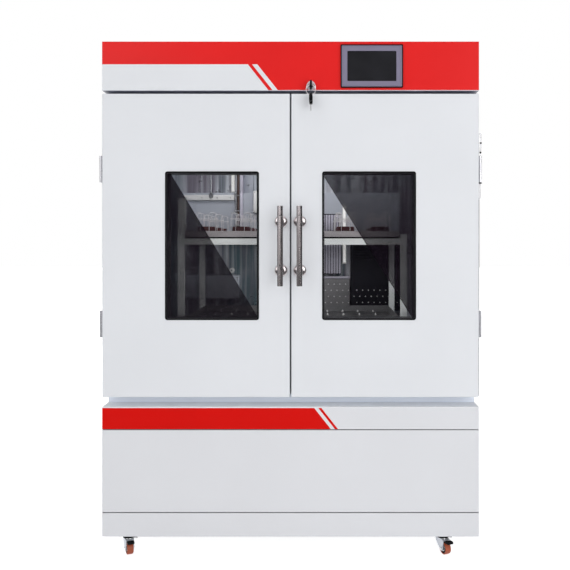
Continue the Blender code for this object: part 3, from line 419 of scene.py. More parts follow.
NODE_FINISH = {  # by the end of the node's name
    "side_panel": "white", "top_panel": "white", "rear_panel": "white", "door_shell": "white",
    "inner_panel": "white", "front_frame": "frame_white",
    "base_pan": "base_white", "service_panel": "base_white",
    "header_panel": "header", "band_panel": "band", "screen_bezel": "bezel", "touch_screen": "screen",
    "lock_barrel": "nickel", "door_key": "key", "split_ring": "ring", "spare_key": "spare",
    "chamber_liner": "liner", "duct_cover": "duct", "power_inlet": "socket", "drive_base": "cast",
    "eccentric": "cast", "pulley": "pulley", "belt": "belt", "compressor": "black_metal",
    "motor": "black_metal", "fan": "black", "brake_pedal": "black", "rack_frame": "rack_paint",
    "upper_tray": "tray", "lower_tray": "lower_tray", "trim": "rubber", "gasket": "gasket",
    "handle": "handle", "hinge": "hinge", "fork": "zinc", "wheel": "tyre",
}
for name, node in frame["nodes"].items():
    for ending, finish in NODE_FINISH.items():
        if name.endswith(ending):
            node.data.materials.clear()
            node.data.materials.append(FINISHES[finish])


# Mesh making


def mesh_from(bm, name):
    mesh = bpy.data.meshes.new(name)
    bm.to_mesh(mesh)
    bm.free()
    return mesh


def linked(name, data):
    obj = bpy.data.objects.new(name, data)
    bpy.context.scene.collection.objects.link(obj)
    return obj


class Piece:
    """One mesh in world metres, made of closed forms. Each form takes the finish and turn that are current."""

    def __init__(self, *finishes, turn=Matrix()):
        self.bm = bmesh.new()
        self.finishes = finishes
        self.current = 0
        self.turn = turn

    def use(self, finish):
        self.current = self.finishes.index(finish)
        return self

    def take(self, bm):
        for face in bm.faces:
            face.material_index = self.current
        bmesh.ops.transform(bm, matrix=self.turn, verts=bm.verts)
        bmesh.ops.recalc_face_normals(bm, faces=bm.faces)
        mesh = mesh_from(bm, "form")
        self.bm.from_mesh(mesh)
        bpy.data.meshes.remove(mesh)
        return self

    def box(self, low, high, bevel=0.0, steps=2):
        low, high = Vector(low), Vector(high)
        bm = bmesh.new()
        place = Matrix.Translation((low + high) / 2) @ Matrix.Diagonal((*(high - low), 1))
        bmesh.ops.create_cube(bm, size=1, matrix=place)
        if bevel:
            bmesh.ops.bevel(bm, geom=bm.edges[:], offset=bevel, segments=steps, profile=0.5, affect="EDGES")
        return self.take(bm)

    def skin(self, rings, closed=False):
        """A skin over rings of points. Its ends are capped or, when it is closed, joined to each other."""
        bm = bmesh.new()
        made = [[bm.verts.new(point) for point in ring] for ring in rings]
        pairs = list(zip(made, made[1:]))
        if closed:
            pairs.append((made[-1], made[0]))
        else:
            bm.faces.new(made[0])
            bm.faces.new(made[-1])
        count = len(made[0])
        for first, second in pairs:
            for i in range(count):
                j = (i + 1) % count
                bm.faces.new((first[i], first[j], second[j], second[i]))
        return self.take(bm)

    def turned(self, centre, along, profile, sides, closed=False):
        """A profile of (radius, distance along) points turned about the axis x, y or z through a centre."""
        x, y, z = centre
        place = {
            "x": lambda u, v, far: (x + far, y + u, z + v),
            "y": lambda u, v, far: (x + u, y + far, z + v),
            "z": lambda u, v, far: (x + u, y + v, z + far),
        }[along]
        rings = [[place(u, v, far) for u, v in circle(0, 0, radius, sides)] for radius, far in profile]
        return self.skin(rings, closed)

    def sweep(self, path, radius, sides, closed=False):
        """A round wire along a path of points."""
        points = [Vector(p) for p in path]
        count = len(points)
        rings = []
        side = None
        for i, point in enumerate(points):
            before = points[(i - 1) % count] if closed or i else point
            after = points[(i + 1) % count] if closed or i < count - 1 else point
            ahead = (after - before).normalized()
            if side is None:
                side = ahead.orthogonal().normalized()
            side = (side - ahead * side.dot(ahead)).normalized()
            up = ahead.cross(side)
            rings.append([point + u * side + v * up for u, v in circle(0, 0, radius, sides)])
        return self.skin(rings, closed)

    def screws(self, centres, out, radius=0.0035, height=0.0018, finish="bolt"):
        """Pan-head screws with a round recess, whose heads stand out along an axis such as -y."""
        self.use(finish)
        far = -height if out[0] == "-" else height
        dome = [(1, 0), (1, 0.35), (0.8, 0.8), (0.42, 1), (0.36, 0.45), (0.1, 0.4)]
        for centre in centres:
            self.turned(centre, out[-1], [(radius * u, far * w) for u, w in dome], 12)
        return self

    def done(self, name, slot, body="cabinet"):
        """The piece as an object that rides a body."""
        mesh = mesh_from(self.bm, name)
        mesh.shade_smooth()
        mesh.set_sharp_from_angle(angle=SMOOTH_ANGLE)
        for finish in self.finishes:
            mesh.materials.append(FINISHES[finish])
        obj = linked(name, mesh)
        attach(obj, body)
        return obj


def circle(x, z, radius, count):
    """Points round a circle, in a plane's own two coordinates."""
    return [(x + radius * cos(2 * pi * k / count), z + radius * sin(2 * pi * k / count)) for k in range(count)]


def middle(low, high):
    """The x and z of a box's middle."""
    return (low.x + high.x) / 2, (low.z + high.z) / 2


CORNER_STEPS = 6


def rounded(low, high, inset, radius, y):
    """The outline of a box from the front, inset and with rounded corners."""
    x, z = middle(low, high)
    wide, tall = ((v - u) / 2 - inset - radius for u, v in ((low.x, high.x), (low.z, high.z)))
    points = []
    for quarter, (side, end) in enumerate(((1, 1), (-1, 1), (-1, -1), (1, -1))):
        for step in range(CORNER_STEPS + 1):
            angle = (quarter + step / CORNER_STEPS) * pi / 2
            points.append((x + side * wide + radius * cos(angle), y, z + end * tall + radius * sin(angle)))
    return points


# The doors' glazing: a rubber lip with a dark reveal, and two panes held apart by a spacer

LIP_WIDTH = 0.0057
LIP_RADIUS = 0.008
PANE_INSET = 0.0064  # from the lip's outer edge to the panes' edge
PANE = 0.004


def make_glazing(side):
    low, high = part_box(f"{side}_window_trim")
    body = f"{side}_door"
    back = FRONT - 0.0002
    trim = Piece("rubber", "reveal")
    lip = [(0.0, back), (0.0, low.y + 0.0006), (0.0006, low.y), (LIP_WIDTH - 0.0007, low.y),
           (LIP_WIDTH, low.y + 0.0008), (LIP_WIDTH, back)]
    reveal = [(0.0054, back), (0.0054, high.y), (0.0062, high.y), (0.0062, back)]
    for finish, section in (("rubber", lip), ("reveal", reveal)):
        rings = [rounded(low, high, inset, LIP_RADIUS - inset, y) for inset, y in section]
        trim.use(finish).skin(rings, closed=True)
    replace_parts(trim.done(f"{side}_window_lip", "dark_rubber", body), f"{side}_window_trim")

    outside, inside = (corner.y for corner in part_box(f"{side}_window_glass"))
    for name, finish, front in (("outer", f"pane_{side}", outside), ("inner", "pane_clear", inside - PANE)):
        outlines = [rounded(low, high, PANE_INSET, 0.0016, y) for y in (front, front + PANE)]
        obj = Piece(finish).skin(outlines).done(f"{side}_{name}_pane", "tinted_glass", body)
        obj.visible_shadow = False
        if name == "outer":
            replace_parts(obj, f"{side}_window_glass")
    y0, y1 = outside + PANE, inside - PANE
    section = [(0.0003, y0), (0.0003, y1), (0.0016, y1), (0.0016, y0)]
    rings = [rounded(low, high, PANE_INSET + inset, 0.0018, y) for inset, y in section]
    Piece("reveal").skin(rings, closed=True).done(f"{side}_pane_spacer", "black_plastic", body)


for side in ("left", "right"):
    make_glazing(side)


# Flask clamps

CLAMP_RADIUS = 0.036
CLAMP_HEIGHT = 0.092
CLAMP_COLUMNS = 6
CLAMP_ROWS = 3
COIL = 0.0017  # the radius of the ring's coils
COILS = 44
COIL_STEPS = 5


def clamp(piece, x, y, floor):
    """A flask clamp: a foot disc, a rubber cup, four hooped wire fingers and a coiled ring round them."""
    radius, height = CLAMP_RADIUS, CLAMP_HEIGHT
    piece.use("spring")
    piece.turned((x, y, floor), "z", [(radius, 0), (radius, 0.0015), (radius - 0.001, 0.002)], 28)
    cup = height * 0.45
    wall = [(radius * 0.9, 0.002), (radius * 0.94, cup * 0.5), (radius * 0.86, cup), (radius * 0.80, cup),
            (radius * 0.88, cup * 0.5), (radius * 0.84, 0.002)]
    piece.use("brown_rubber").turned((x, y, floor), "z", wall, 20, closed=True)
    piece.use("spring")
    half = radius * 0.42
    side = [(radius * 0.96, 0.003), (radius * 1.04, height * 0.35), (radius * 0.98, height * 0.72),
            (radius * 0.94, height * 0.9)]
    path = [(out, -half, up) for out, up in side]
    path += [(radius, half * cos(a), height * (0.94 + 0.06 * sin(a))) for a in (pi * 0.8, pi * 0.5, pi * 0.2)]
    path += [(out, half, up) for out, up in reversed(side)]
    for i in range(4):
        piece.turn = Matrix.Translation((x, y, floor)) @ Matrix.Rotation(pi / 4 + i * pi / 2, 4, "Z")
        piece.sweep(path, 0.0009, 6)
    piece.turn = Matrix()
    ring = []
    for i in range(COILS * COIL_STEPS):
        angle = 2 * pi * i / (COILS * COIL_STEPS)
        swirl = 2 * pi * i / COIL_STEPS
        out = radius * 1.03 + COIL + COIL * cos(swirl)
        ring.append((x + out * cos(angle), y + out * sin(angle), floor + height * 0.76 + COIL * sin(swirl)))
    piece.sweep(ring, 0.0006, 4, closed=True)
    feet = [(u, v, floor + 0.002) for u, v in circle(x, y, radius * 0.5, 4)]
    piece.screws(feet, "+z", 0.004, 0.0025)


def make_tray_fittings(level, clamps):
    """Screws in the tray's rows of holes, and on the upper tray clamps between them."""
    low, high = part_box(f"{level}_tray")
    floor = low.z + 0.002
    across, back = high.x - low.x, high.y - low.y
    piece = Piece("spring", "bolt", "brown_rubber", "white_plastic")
    if clamps:
        for row, column in product(range(CLAMP_ROWS), range(CLAMP_COLUMNS)):
            x = low.x + across * (column + 0.5) / CLAMP_COLUMNS
            clamp(piece, x, low.y + back * (row + 0.5) / CLAMP_ROWS, floor)
    xs = [low.x + across * (i + 1) / (2 * CLAMP_COLUMNS) for i in range(2 * CLAMP_COLUMNS - 1)]
    ys = [low.y + 0.02 + (back - 0.04) * row / CLAMP_ROWS for row in range(CLAMP_ROWS + 1)]
    piece.screws(product(xs, ys, [floor]), "+z", 0.0034, 0.0075, "white_plastic")
    piece.done(f"{level}_tray_fittings", "bright_steel", "rack")


make_tray_fittings("upper", clamps=True)
make_tray_fittings("lower", clamps=False)


# On the chamber's rear wall. A place is a range of x and one of z.

WALL = 0.3018  # the liner's rear wall
RACK_CLEAR = 0.2645  # the rack's edge comes this far back as it runs round
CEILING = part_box("chamber_liner")[1].z - 0.0015
low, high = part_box("air_duct_cover")
DUCT_FACE, DUCT_LEFT, DUCT_LOW, DUCT_HIGH = low.y, low.x, low.z, high.z

RETURN_COVER = (-0.489, -0.245, 0.815, 0.918)
DRIP_COVER = (0.070, 0.222, 0.765, 0.903)
SHADE_GUARD = (0.226, 0.452, 0.765, 1.086)
PORT = (-0.282, WALL, 0.936)
HIGHLIGHT_BAR = (-0.478, -0.264, DUCT_HIGH - 0.033, DUCT_HIGH - 0.010)
HIGHLIGHT_BAR_SCREWS = (-0.465, -0.400, -0.335, -0.280)
END_COVER = (-0.489, DUCT_LEFT - 0.0003, DUCT_LOW + 0.006, DUCT_HIGH - 0.0005)
SENSOR = (-0.183, -0.124, 1.179, 1.272)
PROBE_X = -0.361
PROBE_Z = 1.250
RISER_LOW = 1.106
RISER_PIPES = (("chrome", -0.2575, 0.0050), ("pipe", -0.2470, 0.0046))  # finish, x and radius
RISER_COVER = (-0.2410, -0.2285)
RISER_BACK = (-0.2290, -0.1900)
FIN_PITCH = 0.0113
FIN_WIDTH = 0.0088
STUD_PITCH = 0.0245
STUD_RISE = 0.026


def panel(piece, place, front, back, bevel, steps=2):
    """A cover over a place, from y front to y back."""
    x0, x1, z0, z1 = place
    return piece.box((x0, front, z0), (x1, back, z1), bevel, steps)


def corner_screws(piece, place, front, inset, radius, height):
    """A screw in each corner of a cover, inset from its edges."""
    x0, x1, z0, z1 = place
    xs, zs = (x0 + inset, x1 - inset), (z0 + inset, z1 - inset)
    piece.screws(product(xs, [front], zs), "-y", radius, height)


def studs(piece, place, front, columns, rows):
    """White studs in staggered rows, from the place's lower left up."""
    centres = []
    for i, k in product(range(columns), range(rows)):
        centres.append((place[0] + (i + 0.5 * (k % 2)) * STUD_PITCH, front, place[2] + 0.010 + k * STUD_RISE))
    piece.screws(centres, "-y", 0.0026, 0.0016, "white_plastic")


def lamp_strip(name, place, front, back):
    """A strip lamp: a white housing with a domed diffuser along it."""
    x0, x1, z0, z1 = place
    piece = panel(Piece("white_plastic", "lamp", "bolt"), place, front, back, 0.001)
    x, half = (x0 + x1) / 2, (x1 - x0) / 2 - 0.003
    arc = [(x + half * cos(pi * k / 8), front - 0.0035 * sin(pi * k / 8)) for k in range(9)]
    piece.use("lamp").skin([[(u, v, z) for u, v in arc] for z in (z0 + 0.006, z1 - 0.006)])
    piece.screws([(x, front, z) for z in (z0 + 0.003, z1 - 0.003)], "-y", 0.0018, 0.001)
    piece.done(name, "pale_rubber")


lamp_strip("left_chamber_lamp", (-0.284, -0.2655, DUCT_HIGH + 0.002, 1.49), WALL - 0.020, WALL)
lamp_strip("right_chamber_lamp", (0.190, 0.207, DUCT_LOW + 0.002, 1.215), DUCT_FACE - 0.0075, DUCT_FACE)
lamp_strip("lower_chamber_lamp", (0.191, 0.208, 0.965, DUCT_LOW - 0.002), RACK_CLEAR, WALL)

cover = panel(Piece("duct", "bolt"), RETURN_COVER, RACK_CLEAR, WALL, 0.006, 4)
corner_screws(cover, RETURN_COVER, RACK_CLEAR, 0.011, 0.003, 0.0014)
cover.done("lower_return_cover", "stainless")

drip = panel(Piece("dark_cover", "fin", "white_plastic"), DRIP_COVER, RACK_CLEAR, WALL, 0.003, 3)
x0, x1, z0, z1 = DRIP_COVER
panel(drip.use("fin"), (x0 - 0.002, x1 + 0.002, z1 + 0.0005, z1 + 0.009), RACK_CLEAR - 0.0015, WALL, 0.0012)
studs(drip, (x0 + 0.012, x1, z0, z1), RACK_CLEAR, 6, 5)
drip.done("drip_tray_cover", "stainless")

# A black guard with white studs over the rear wall's lower right: a dark sheet put there as painted shade
face = RACK_CLEAR + 0.006
dark_guard = panel(Piece("guard", "white_plastic"), SHADE_GUARD, face, WALL, 0.006, 4)
x0, x1, z0, z1 = SHADE_GUARD
for k in range(8):
    z = 0.985 + k * 0.011
    panel(dark_guard, (x0 + 0.020, x1 - 0.020, z, z + 0.004), face - 0.003, face + 0.0005, 0.0008)
studs(dark_guard, (x0 + 0.014, x1, z0, z1), face, 8, 4)
dark_guard.done("heater_guard", "black_paint")

port = Piece("white_plastic", "chrome")
collar = [(0.0115, 0), (0.0115, -0.003), (0.0085, -0.0045), (0.0085, -0.010), (0.006, -0.012)]
port.turned(PORT, "y", collar, 20)
nipple = [(0.0035, -0.0118), (0.0035, -0.0158), (0.0022, -0.0173)]
port.use("chrome").turned(PORT, "y", nipple, 12)
port.done("wall_port_plug", "pale_rubber")


# The rack's post top and tray edge

RACK_TUBE = 0.026
POST_TOP = 1.211

low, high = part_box("rack_frame")
corner = low.x + RACK_TUBE, low.y + RACK_TUBE
post = Piece("rack_paint", "black")
post.box((low.x, low.y, high.z - 0.0005), (*corner, POST_TOP), 0.002)
inset = 0.001
start = (low.x + inset, low.y + inset, POST_TOP - 0.0005)
post.use("black").box(start, (corner[0] - inset, corner[1] - inset, POST_TOP + 0.003), 0.0015)
post.done("rack_left_post_top", "white_paint", "rack")

low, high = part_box("upper_tray")
strip = Piece("black")
strip.box((low.x + 0.002, low.y - 0.0006, low.z + 0.0002), (high.x - 0.002, low.y - 0.0001, low.z + 0.0052))
strip.done("upper_tray_edge_strip", "dark_rubber", "rack")


# On the duct's face and beside it

# A white bar along the duct's top: its white is a painted highlight where light glances off the duct
front = DUCT_FACE - 0.014
bar = panel(Piece("white_plastic", "bolt"), HIGHLIGHT_BAR, front, DUCT_FACE, 0.004, 3)
bar.screws(product(HIGHLIGHT_BAR_SCREWS, [front], [DUCT_HIGH - 0.0215]), "-y", 0.003, 0.0015)
bar.done("duct_cable_cover", "white_paint")

riser = Piece("chrome", "pipe", "bolt")
for finish, x, radius in RISER_PIPES:
    along = [(radius, 0), (radius, CEILING - RISER_LOW)]
    riser.use(finish).turned((x, DUCT_FACE - 0.0068, RISER_LOW), "z", along, 16)
for z in (1.125, 1.185, 1.250):
    panel(riser.use("bolt"), (-0.2635, -0.2415, z, z + 0.006), DUCT_FACE - 0.0136, DUCT_FACE, 0.001)
riser.done("duct_riser_pipes", "chrome")

channel = Piece("fin", "duct", "bolt")
front = DUCT_FACE - 0.010
panel(channel, (*RISER_COVER, RISER_LOW, DUCT_HIGH), front, DUCT_FACE, 0.0015)
panel(channel, (*RISER_COVER, DUCT_HIGH - 0.0005, CEILING), front, WALL, 0.0015)
front = WALL - 0.016
panel(channel.use("duct"), (*RISER_BACK, DUCT_HIGH, CEILING), front, WALL, 0.0015)
channel.screws(product([-0.2095], [front], (1.30, 1.37, 1.44)), "-y", 0.003, 0.0014)
channel.done("duct_riser_cover", "stainless")

front = DUCT_FACE + 0.001
end = panel(Piece("duct", "bolt"), END_COVER, front, WALL, 0.003, 3)
end.screws(product([-0.475], [front], (1.125, 1.235)), "-y", 0.003, 0.0014)
end.done("duct_end_cover", "stainless")

# The black sheets behind the fins are painted shade in the gaps between them
fins = Piece("black", "fin")
for z0, z1, front, back in ((0.92, DUCT_LOW - 0.001, RACK_CLEAR, WALL),
                            (DUCT_LOW + 0.001, 1.176, DUCT_FACE - 0.0045, DUCT_FACE)):
    panel(fins.use("black"), (0.084, 0.186, z0, z1), front + 0.002, back, 0.0006)
    for k in range(9):
        x = 0.0855 + k * FIN_PITCH
        panel(fins.use("fin"), (x, x + FIN_WIDTH, z0 + 0.004, z1 - 0.004), front, front + 0.0022, 0.0006)
fins.done("return_air_fins", "stainless")

front = DUCT_FACE - 0.022
housing = panel(Piece("white_plastic", "bolt", "black"), SENSOR, front, DUCT_FACE, 0.003, 3)
corner_screws(housing, SENSOR, front, 0.006, 0.0022, 0.001)
tip = [(0.0065, 0), (0.0065, -0.006), (0.005, -0.009), (0.005, -0.012)]
housing.use("black").turned((-0.153, DUCT_FACE - 0.011, SENSOR[2]), "z", tip, 6)
housing.done("humidity_sensor_housing", "pale_rubber")

probe = Piece("chrome", "bolt")
base = PROBE_Z + 0.006
probe_y = DUCT_FACE - 0.012
probe.turned((PROBE_X, probe_y, base), "z", [(0.0035, 0), (0.0035, CEILING - base)], 12)
knob = [(0.002, -0.010), (0.009, -0.007), (0.011, 0), (0.009, 0.007), (0.0045, 0.012), (0.0045, 0.016)]
probe.use("bolt").turned((PROBE_X, probe_y, PROBE_Z), "z", knob, 16)
flange = [(0.0036, 0), (0.012, 0), (0.012, -0.003), (0.0036, -0.004)]
probe.turned((PROBE_X, probe_y, CEILING), "z", flange, 16)
probe.done("temperature_probe", "chrome")

guard = Piece("spring")
fan_x, fan_z = 0.0, middle(*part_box("circulation_fan"))[1]
for radius in (0.012, 0.028, 0.044, 0.060, 0.070):
    ring = [(x, DUCT_FACE - 0.0035, z) for x, z in circle(fan_x, fan_z, radius, 36)]
    guard.sweep(ring, 0.0011, 6, closed=True)
for k in range(4):
    a = pi / 4 + k * pi / 2
    spoke = [(fan_x + r * cos(a), DUCT_FACE - 0.0016, fan_z + r * sin(a)) for r in (0.012, 0.045, 0.076)]
    guard.sweep(spoke, 0.0014, 6)
guard.done("fan_guard", "bright_steel")


# The hinges, and the right upper one's stay and bent pin

HINGE_LEAF = 0.0025
PIN_X = 0.636
STAY = 0.0016
STAY_LOW, STAY_HIGH = 1.352, 1.419
STEM_LOW = 1.2005

for side, out, sign in SIDES:
    for level in ("upper", "lower"):
        low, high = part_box(f"{side}_{level}_door_hinge")
        face = sign * (min(abs(low.x), abs(high.x)) + HINGE_LEAF)
        centres = product([face], [high.y - 0.006], (low.z + 0.010, low.z + 0.034))
        piece = Piece("bolt").screws(centres, out, 0.0038, 0.0018)
        piece.done(f"{side}_{level}_door_hinge_screws", "bright_steel", f"{side}_door")

low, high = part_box("right_upper_door_hinge")
pin_y = low.y + 0.005
leaf = low.x
stay = Piece("hinge", "bolt", "black")
for reach, top in ((0.085, 1.372), (0.012, STAY_HIGH)):
    stay.box((leaf, pin_y - 0.004, STAY_LOW), (leaf + STAY, pin_y + reach, top), 0.0004)
stay.box((leaf, pin_y - 0.0045, STAY_HIGH - 0.0025), (PIN_X + 0.0035, pin_y + 0.0045, STAY_HIGH), 0.0004)
bent = [(PIN_X + 0.002, pin_y, z) for z in (1.4165, 1.39, 1.372)]
stay.sweep([*bent, (PIN_X, pin_y, 1.3445)], 0.0015, 8)
centres = product([leaf + STAY], (pin_y + 0.045, pin_y + 0.070), [1.362])
stay.screws(centres, "+x", 0.0035, 0.0016)
nut = [(0.0016, -0.0030), (0.0030, -0.0020), (0.0030, 0.0020), (0.0016, 0.0030)]
for x, z in ((PIN_X + 0.0018, 1.3867), (PIN_X + 0.0008, 1.3550)):
    stay.use("black").turned((x, pin_y, z), "z", nut, 16)
stay.done("right_upper_hinge_stay", "bright_steel")

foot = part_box("right_upper_cabinet_hinge")[0].z
stem = Piece("hinge", "black")
stem.sweep([(PIN_X - 0.001, pin_y, z) for z in (foot + 0.0005, 1.225, STEM_LOW)], 0.0017, 8)
stem.box((leaf, pin_y - 0.003, STEM_LOW - 0.0015), (PIN_X + 0.001, pin_y + 0.003, STEM_LOW + 0.0015), 0.0004)
cap = [(0.0020, -0.0045), (0.0044, -0.0038), (0.0049, -0.0020), (0.0049, 0.0), (0.0020, 0.0)]
stem.use("black").turned((PIN_X, pin_y, foot), "z", cap, 20)
stem.done("right_upper_hinge_stem", "bright_steel")


# The doors' edges and inner panels

MEETING_Y = (-0.3135, -0.3075)
SEAL_SHADE_GAP = (0.7335, 0.8265)  # where the lower hinge interrupts the edge seal and its painted shade
SEAL_SHADE_TOP = 1.1970

low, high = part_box("left_door_shell")
gap = Piece("gasket")
gap.box((high.x - 0.0001, MEETING_Y[0], low.z + 0.001), (high.x + 0.0036, MEETING_Y[1], high.z - 0.001), 0.0006)
gap.done("door_meeting_strip", "dark_rubber", "left_door")

low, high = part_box("right_door_shell")
# A black strip along the right door's outer edge: partly a seal, partly painted shade where that edge falls in
# shadow
seal = Piece("black")
for z0, z1 in ((low.z + 0.004, SEAL_SHADE_GAP[0]), (SEAL_SHADE_GAP[1], SEAL_SHADE_TOP)):
    seal.box((high.x - 0.0001, low.y + 0.003, z0), (high.x + 0.0018, low.y + 0.0065, z1), 0.0005)
seal.done("right_door_edge_seal", "dark_rubber", "right_door")

for side, _, sign in SIDES:
    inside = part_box(f"{side}_door_inner_panel")[1].y
    places = product((0.080, 0.2625, 0.445), (0.769, 1.0425, 1.316))
    centres = [(sign * x, inside, z) for x, z in places if (x, z) != (0.2625, 1.0425)]
    piece = Piece("bolt").screws(centres, "+y", 0.0038, 0.0014)
    piece.done(f"{side}_inner_panel_screws", "bright_steel", f"{side}_door")


# The handles

POST_REACH = 0.0815  # from the handle's middle to a post
ROSE = [(0.0208, 0), (0.0207, -0.0012), (0.0198, -0.0022), (0.0160, -0.0040), (0.0110, -0.0056),
        (0.0084, -0.0060)]
GROOVE = [(0.0090, -0.0003), (0.0095, -0.0003), (0.0095, 0.0003), (0.0090, 0.0003)]
GRUB_SCREW = [(0.0016, 0.0006), (0.0016, 0.0), (0.0010, 0.0)]

for side in ("left", "right"):
    low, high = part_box(f"{side}_handle")
    x, y, z = low.x + 0.021, low.y + 0.0095, (low.z + high.z) / 2
    body = f"{side}_door"
    fine = Piece("black", "rose")
    for place, up, end in (("lower", -1, low.z), ("upper", 1, high.z)):
        post_z = z + up * POST_REACH
        rose = Piece("rose").turned((x, FRONT - 0.0062, post_z), "y", ROSE, 40)
        rose.done(f"{side}_{place}_handle_rose", "bright_steel", body)
        cap = [(0.0090, 0), (0.0080, up * 0.0005), (0.002, up * 0.0006)]
        fine.use("rose").turned((x, y, end - up * 0.0006), "z", cap, 28)
        fine.use("black").turned((x, y, end - up * 0.030), "z", GROOVE, 32, closed=True)
        fine.turned((x, low.y, post_z + 0.018), "y", GRUB_SCREW, 10)
    fine.done(f"{side}_handle_details", "black_plastic", body)


# The casters, in a frame of their own: the origin is on the floor under the stem, and the wheel trails to -y


def both_ways(half):
    """A profile mirrored about the wheel's middle."""
    return half + [(radius, -far) for radius, far in reversed(half)]


YAW = radians(25)
CHEEK_FACE = 0.0143
CHEEK = 0.0016
AXLE = (0, -0.014, 0.021)
CHEEK_OUTLINE = [(-0.0215, 0.0475), (-0.0190, 0.0535), (0.0170, 0.0535), (0.0210, 0.0475), (0.0170, 0.038),
                 (0.0065, 0.026), (-0.006, 0.018), (-0.016, 0.013), (-0.0200, 0.018), (-0.0205, 0.030)]
RACE = [(0.0117, 0.0497), (0.0160, 0.0497), (0.0168, 0.0515), (0.0160, 0.0534), (0.0117, 0.0534)]
COLLAR = [(0.0145, 0.0537), (0.0190, 0.0537), (0.0200, 0.0550), (0.0200, 0.0600), (0.0145, 0.0608)]
STEM_BOLT = [(0.0022, 0.0155), (0.0022, 0.0270), (0.0042, 0.0272), (0.0042, 0.0305), (0.0030, 0.0315)]
AXLE_NUT = [(0.0048, 0), (0.0048, 0.0020), (0.0040, 0.0026), (0.0028, 0.0028), (0.0026, 0.0032),
            (0.0010, 0.0034)]
TREAD = both_ways([(0.0158, 0.0088), (0.0166, 0.0104), (0.0186, 0.0108), (0.0203, 0.0096), (0.0209, 0.0074),
                   (0.0210, 0.0040)])
HUB = both_ways([(0.0034, 0.0108), (0.0068, 0.0108), (0.0074, 0.0086), (0.0130, 0.0078), (0.0150, 0.0090),
                 (0.0160, 0.0090)])
HUB_RING = [(0.0074, 0.0098), (0.0092, 0.0098), (0.0094, 0.0080), (0.0072, 0.0080)]
LEVER = 0.0112  # half the brake lever's width
PAD = [(-0.0478, 0.0440), (-0.0470, 0.0492), (-0.0440, 0.0507), (-0.0310, 0.0507), (-0.0285, 0.0480),
       (-0.0285, 0.0430), (-0.0400, 0.0430), (-0.0450, 0.0428)]
PAD_MIDDLE = (-0.0380, 0.0468)


def make_swivel(name, turn):
    swivel = Piece("zinc", "chrome", "black", turn=turn)
    swivel.skin([[(end, u, w) for u, w in CHEEK_OUTLINE] for end in (-CHEEK_FACE - CHEEK, -CHEEK_FACE)])
    swivel.use("chrome").turned((0, 0, 0), "z", RACE, 28, closed=True)
    swivel.use("black").turned((0, 0, 0), "z", COLLAR, 36, closed=True)
    swivel.use("chrome")
    for sign, face, sides in ((-1, CHEEK_FACE + CHEEK, 20), (1, CHEEK_FACE, 6)):
        nut = [(radius, sign * far) for radius, far in AXLE_NUT]
        swivel.turned((sign * face, AXLE[1], AXLE[2]), "x", nut, sides)
    swivel.turn = turn @ Matrix.Rotation(-YAW, 4, "Z")
    swivel.turned((0, 0, 0.0512), "x", STEM_BOLT, 12)
    swivel.done(f"{name}_swivel_details", "zinc", f"{name}_swivel")


def make_wheel(name, turn):
    wheel = Piece("tyre", "black", "chrome", turn=turn)
    wheel.turned(AXLE, "x", TREAD, 64, closed=True)
    wheel.use("black").turned(AXLE, "x", HUB, 48, closed=True)
    for sign in (-1, 1):
        ring = [(radius, sign * far) for radius, far in HUB_RING]
        wheel.use("chrome").turned(AXLE, "x", ring, 32, closed=True)
    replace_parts(wheel.done(f"{name}_tread_wheel", "terracotta", f"{name}_roller"), f"{name}_wheel")


def make_lever(name, turn):
    lever = Piece("black", turn=turn)
    lever.box((-LEVER, -0.030, 0.0430), (LEVER, -0.0092, 0.0456), 0.0008)
    for k in range(4):
        y = -0.0450 + k * 0.0040
        lever.box((-LEVER + 0.002, y, 0.0500), (LEVER - 0.002, y + 0.0014, 0.0508), 0.0002)
    y, z = PAD_MIDDLE
    rings = []
    for x, size in ((-LEVER, 0.8), (-LEVER + 0.0012, 1.0), (LEVER - 0.0012, 1.0), (LEVER, 0.8)):
        rings.append([(x, y + (u - y) * size, z + (w - z) * size) for u, w in PAD])
    lever.skin(rings)
    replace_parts(lever.done(f"{name}_brake_lever", "black_plastic", f"{name}_brake"), f"{name}_brake_pedal")


joint_places = {joint["name"]: joint["pos_m"] for joint in frame["joints"]}
for row, side in product(("front", "rear"), ("left", "right")):
    name = f"{row}_{side}"
    x, y, _ = joint_places[f"{name}_swivel_turn"]
    turn = Matrix.Translation((x, y, 0)) @ Matrix.Rotation(YAW, 4, "Z")
    make_swivel(name, turn)
    make_wheel(name, turn)
    if row == "front":
        make_lever(name, turn)


# The head: a black lap round the screen's frame that paints the shade in its gap, a step round the frame, the
# spare key's grips and the lock's plate

low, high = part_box("screen_bezel")
lip = low.y - 0.0004
# The black lap is painted shade in the gap round the screen's frame
shade_lap = [(-0.0010, FRONT - 0.0001), (-0.0010, lip), (0.0021, lip), (0.0021, low.y + 0.0004)]
step = [(0.0060, low.y + 0.0002), (0.0064, low.y - 0.0007), (0.0072, low.y - 0.0007), (0.0076, low.y + 0.0002)]
seal = Piece("black", "bezel")
for finish, section, radius in (("black", shade_lap, 0.0035), ("bezel", step, 0.003)):
    rings = [rounded(low, high, inset, radius, y) for inset, y in section]
    seal.use(finish).skin(rings, closed=True)
seal.done("bezel_seal", "black_plastic")

# Height, how far it stands out, and share of the key's width
GRIP = ((1.5095, 0.0004, 0.4), (1.5125, 0.0014, 0.8), (1.520, 0.0024, 1.0), (1.534, 0.0024, 1.0),
        (1.5405, 0.0016, 0.8), (1.5425, 0.0006, 0.5))
LOCK_HOLE = 0.0131

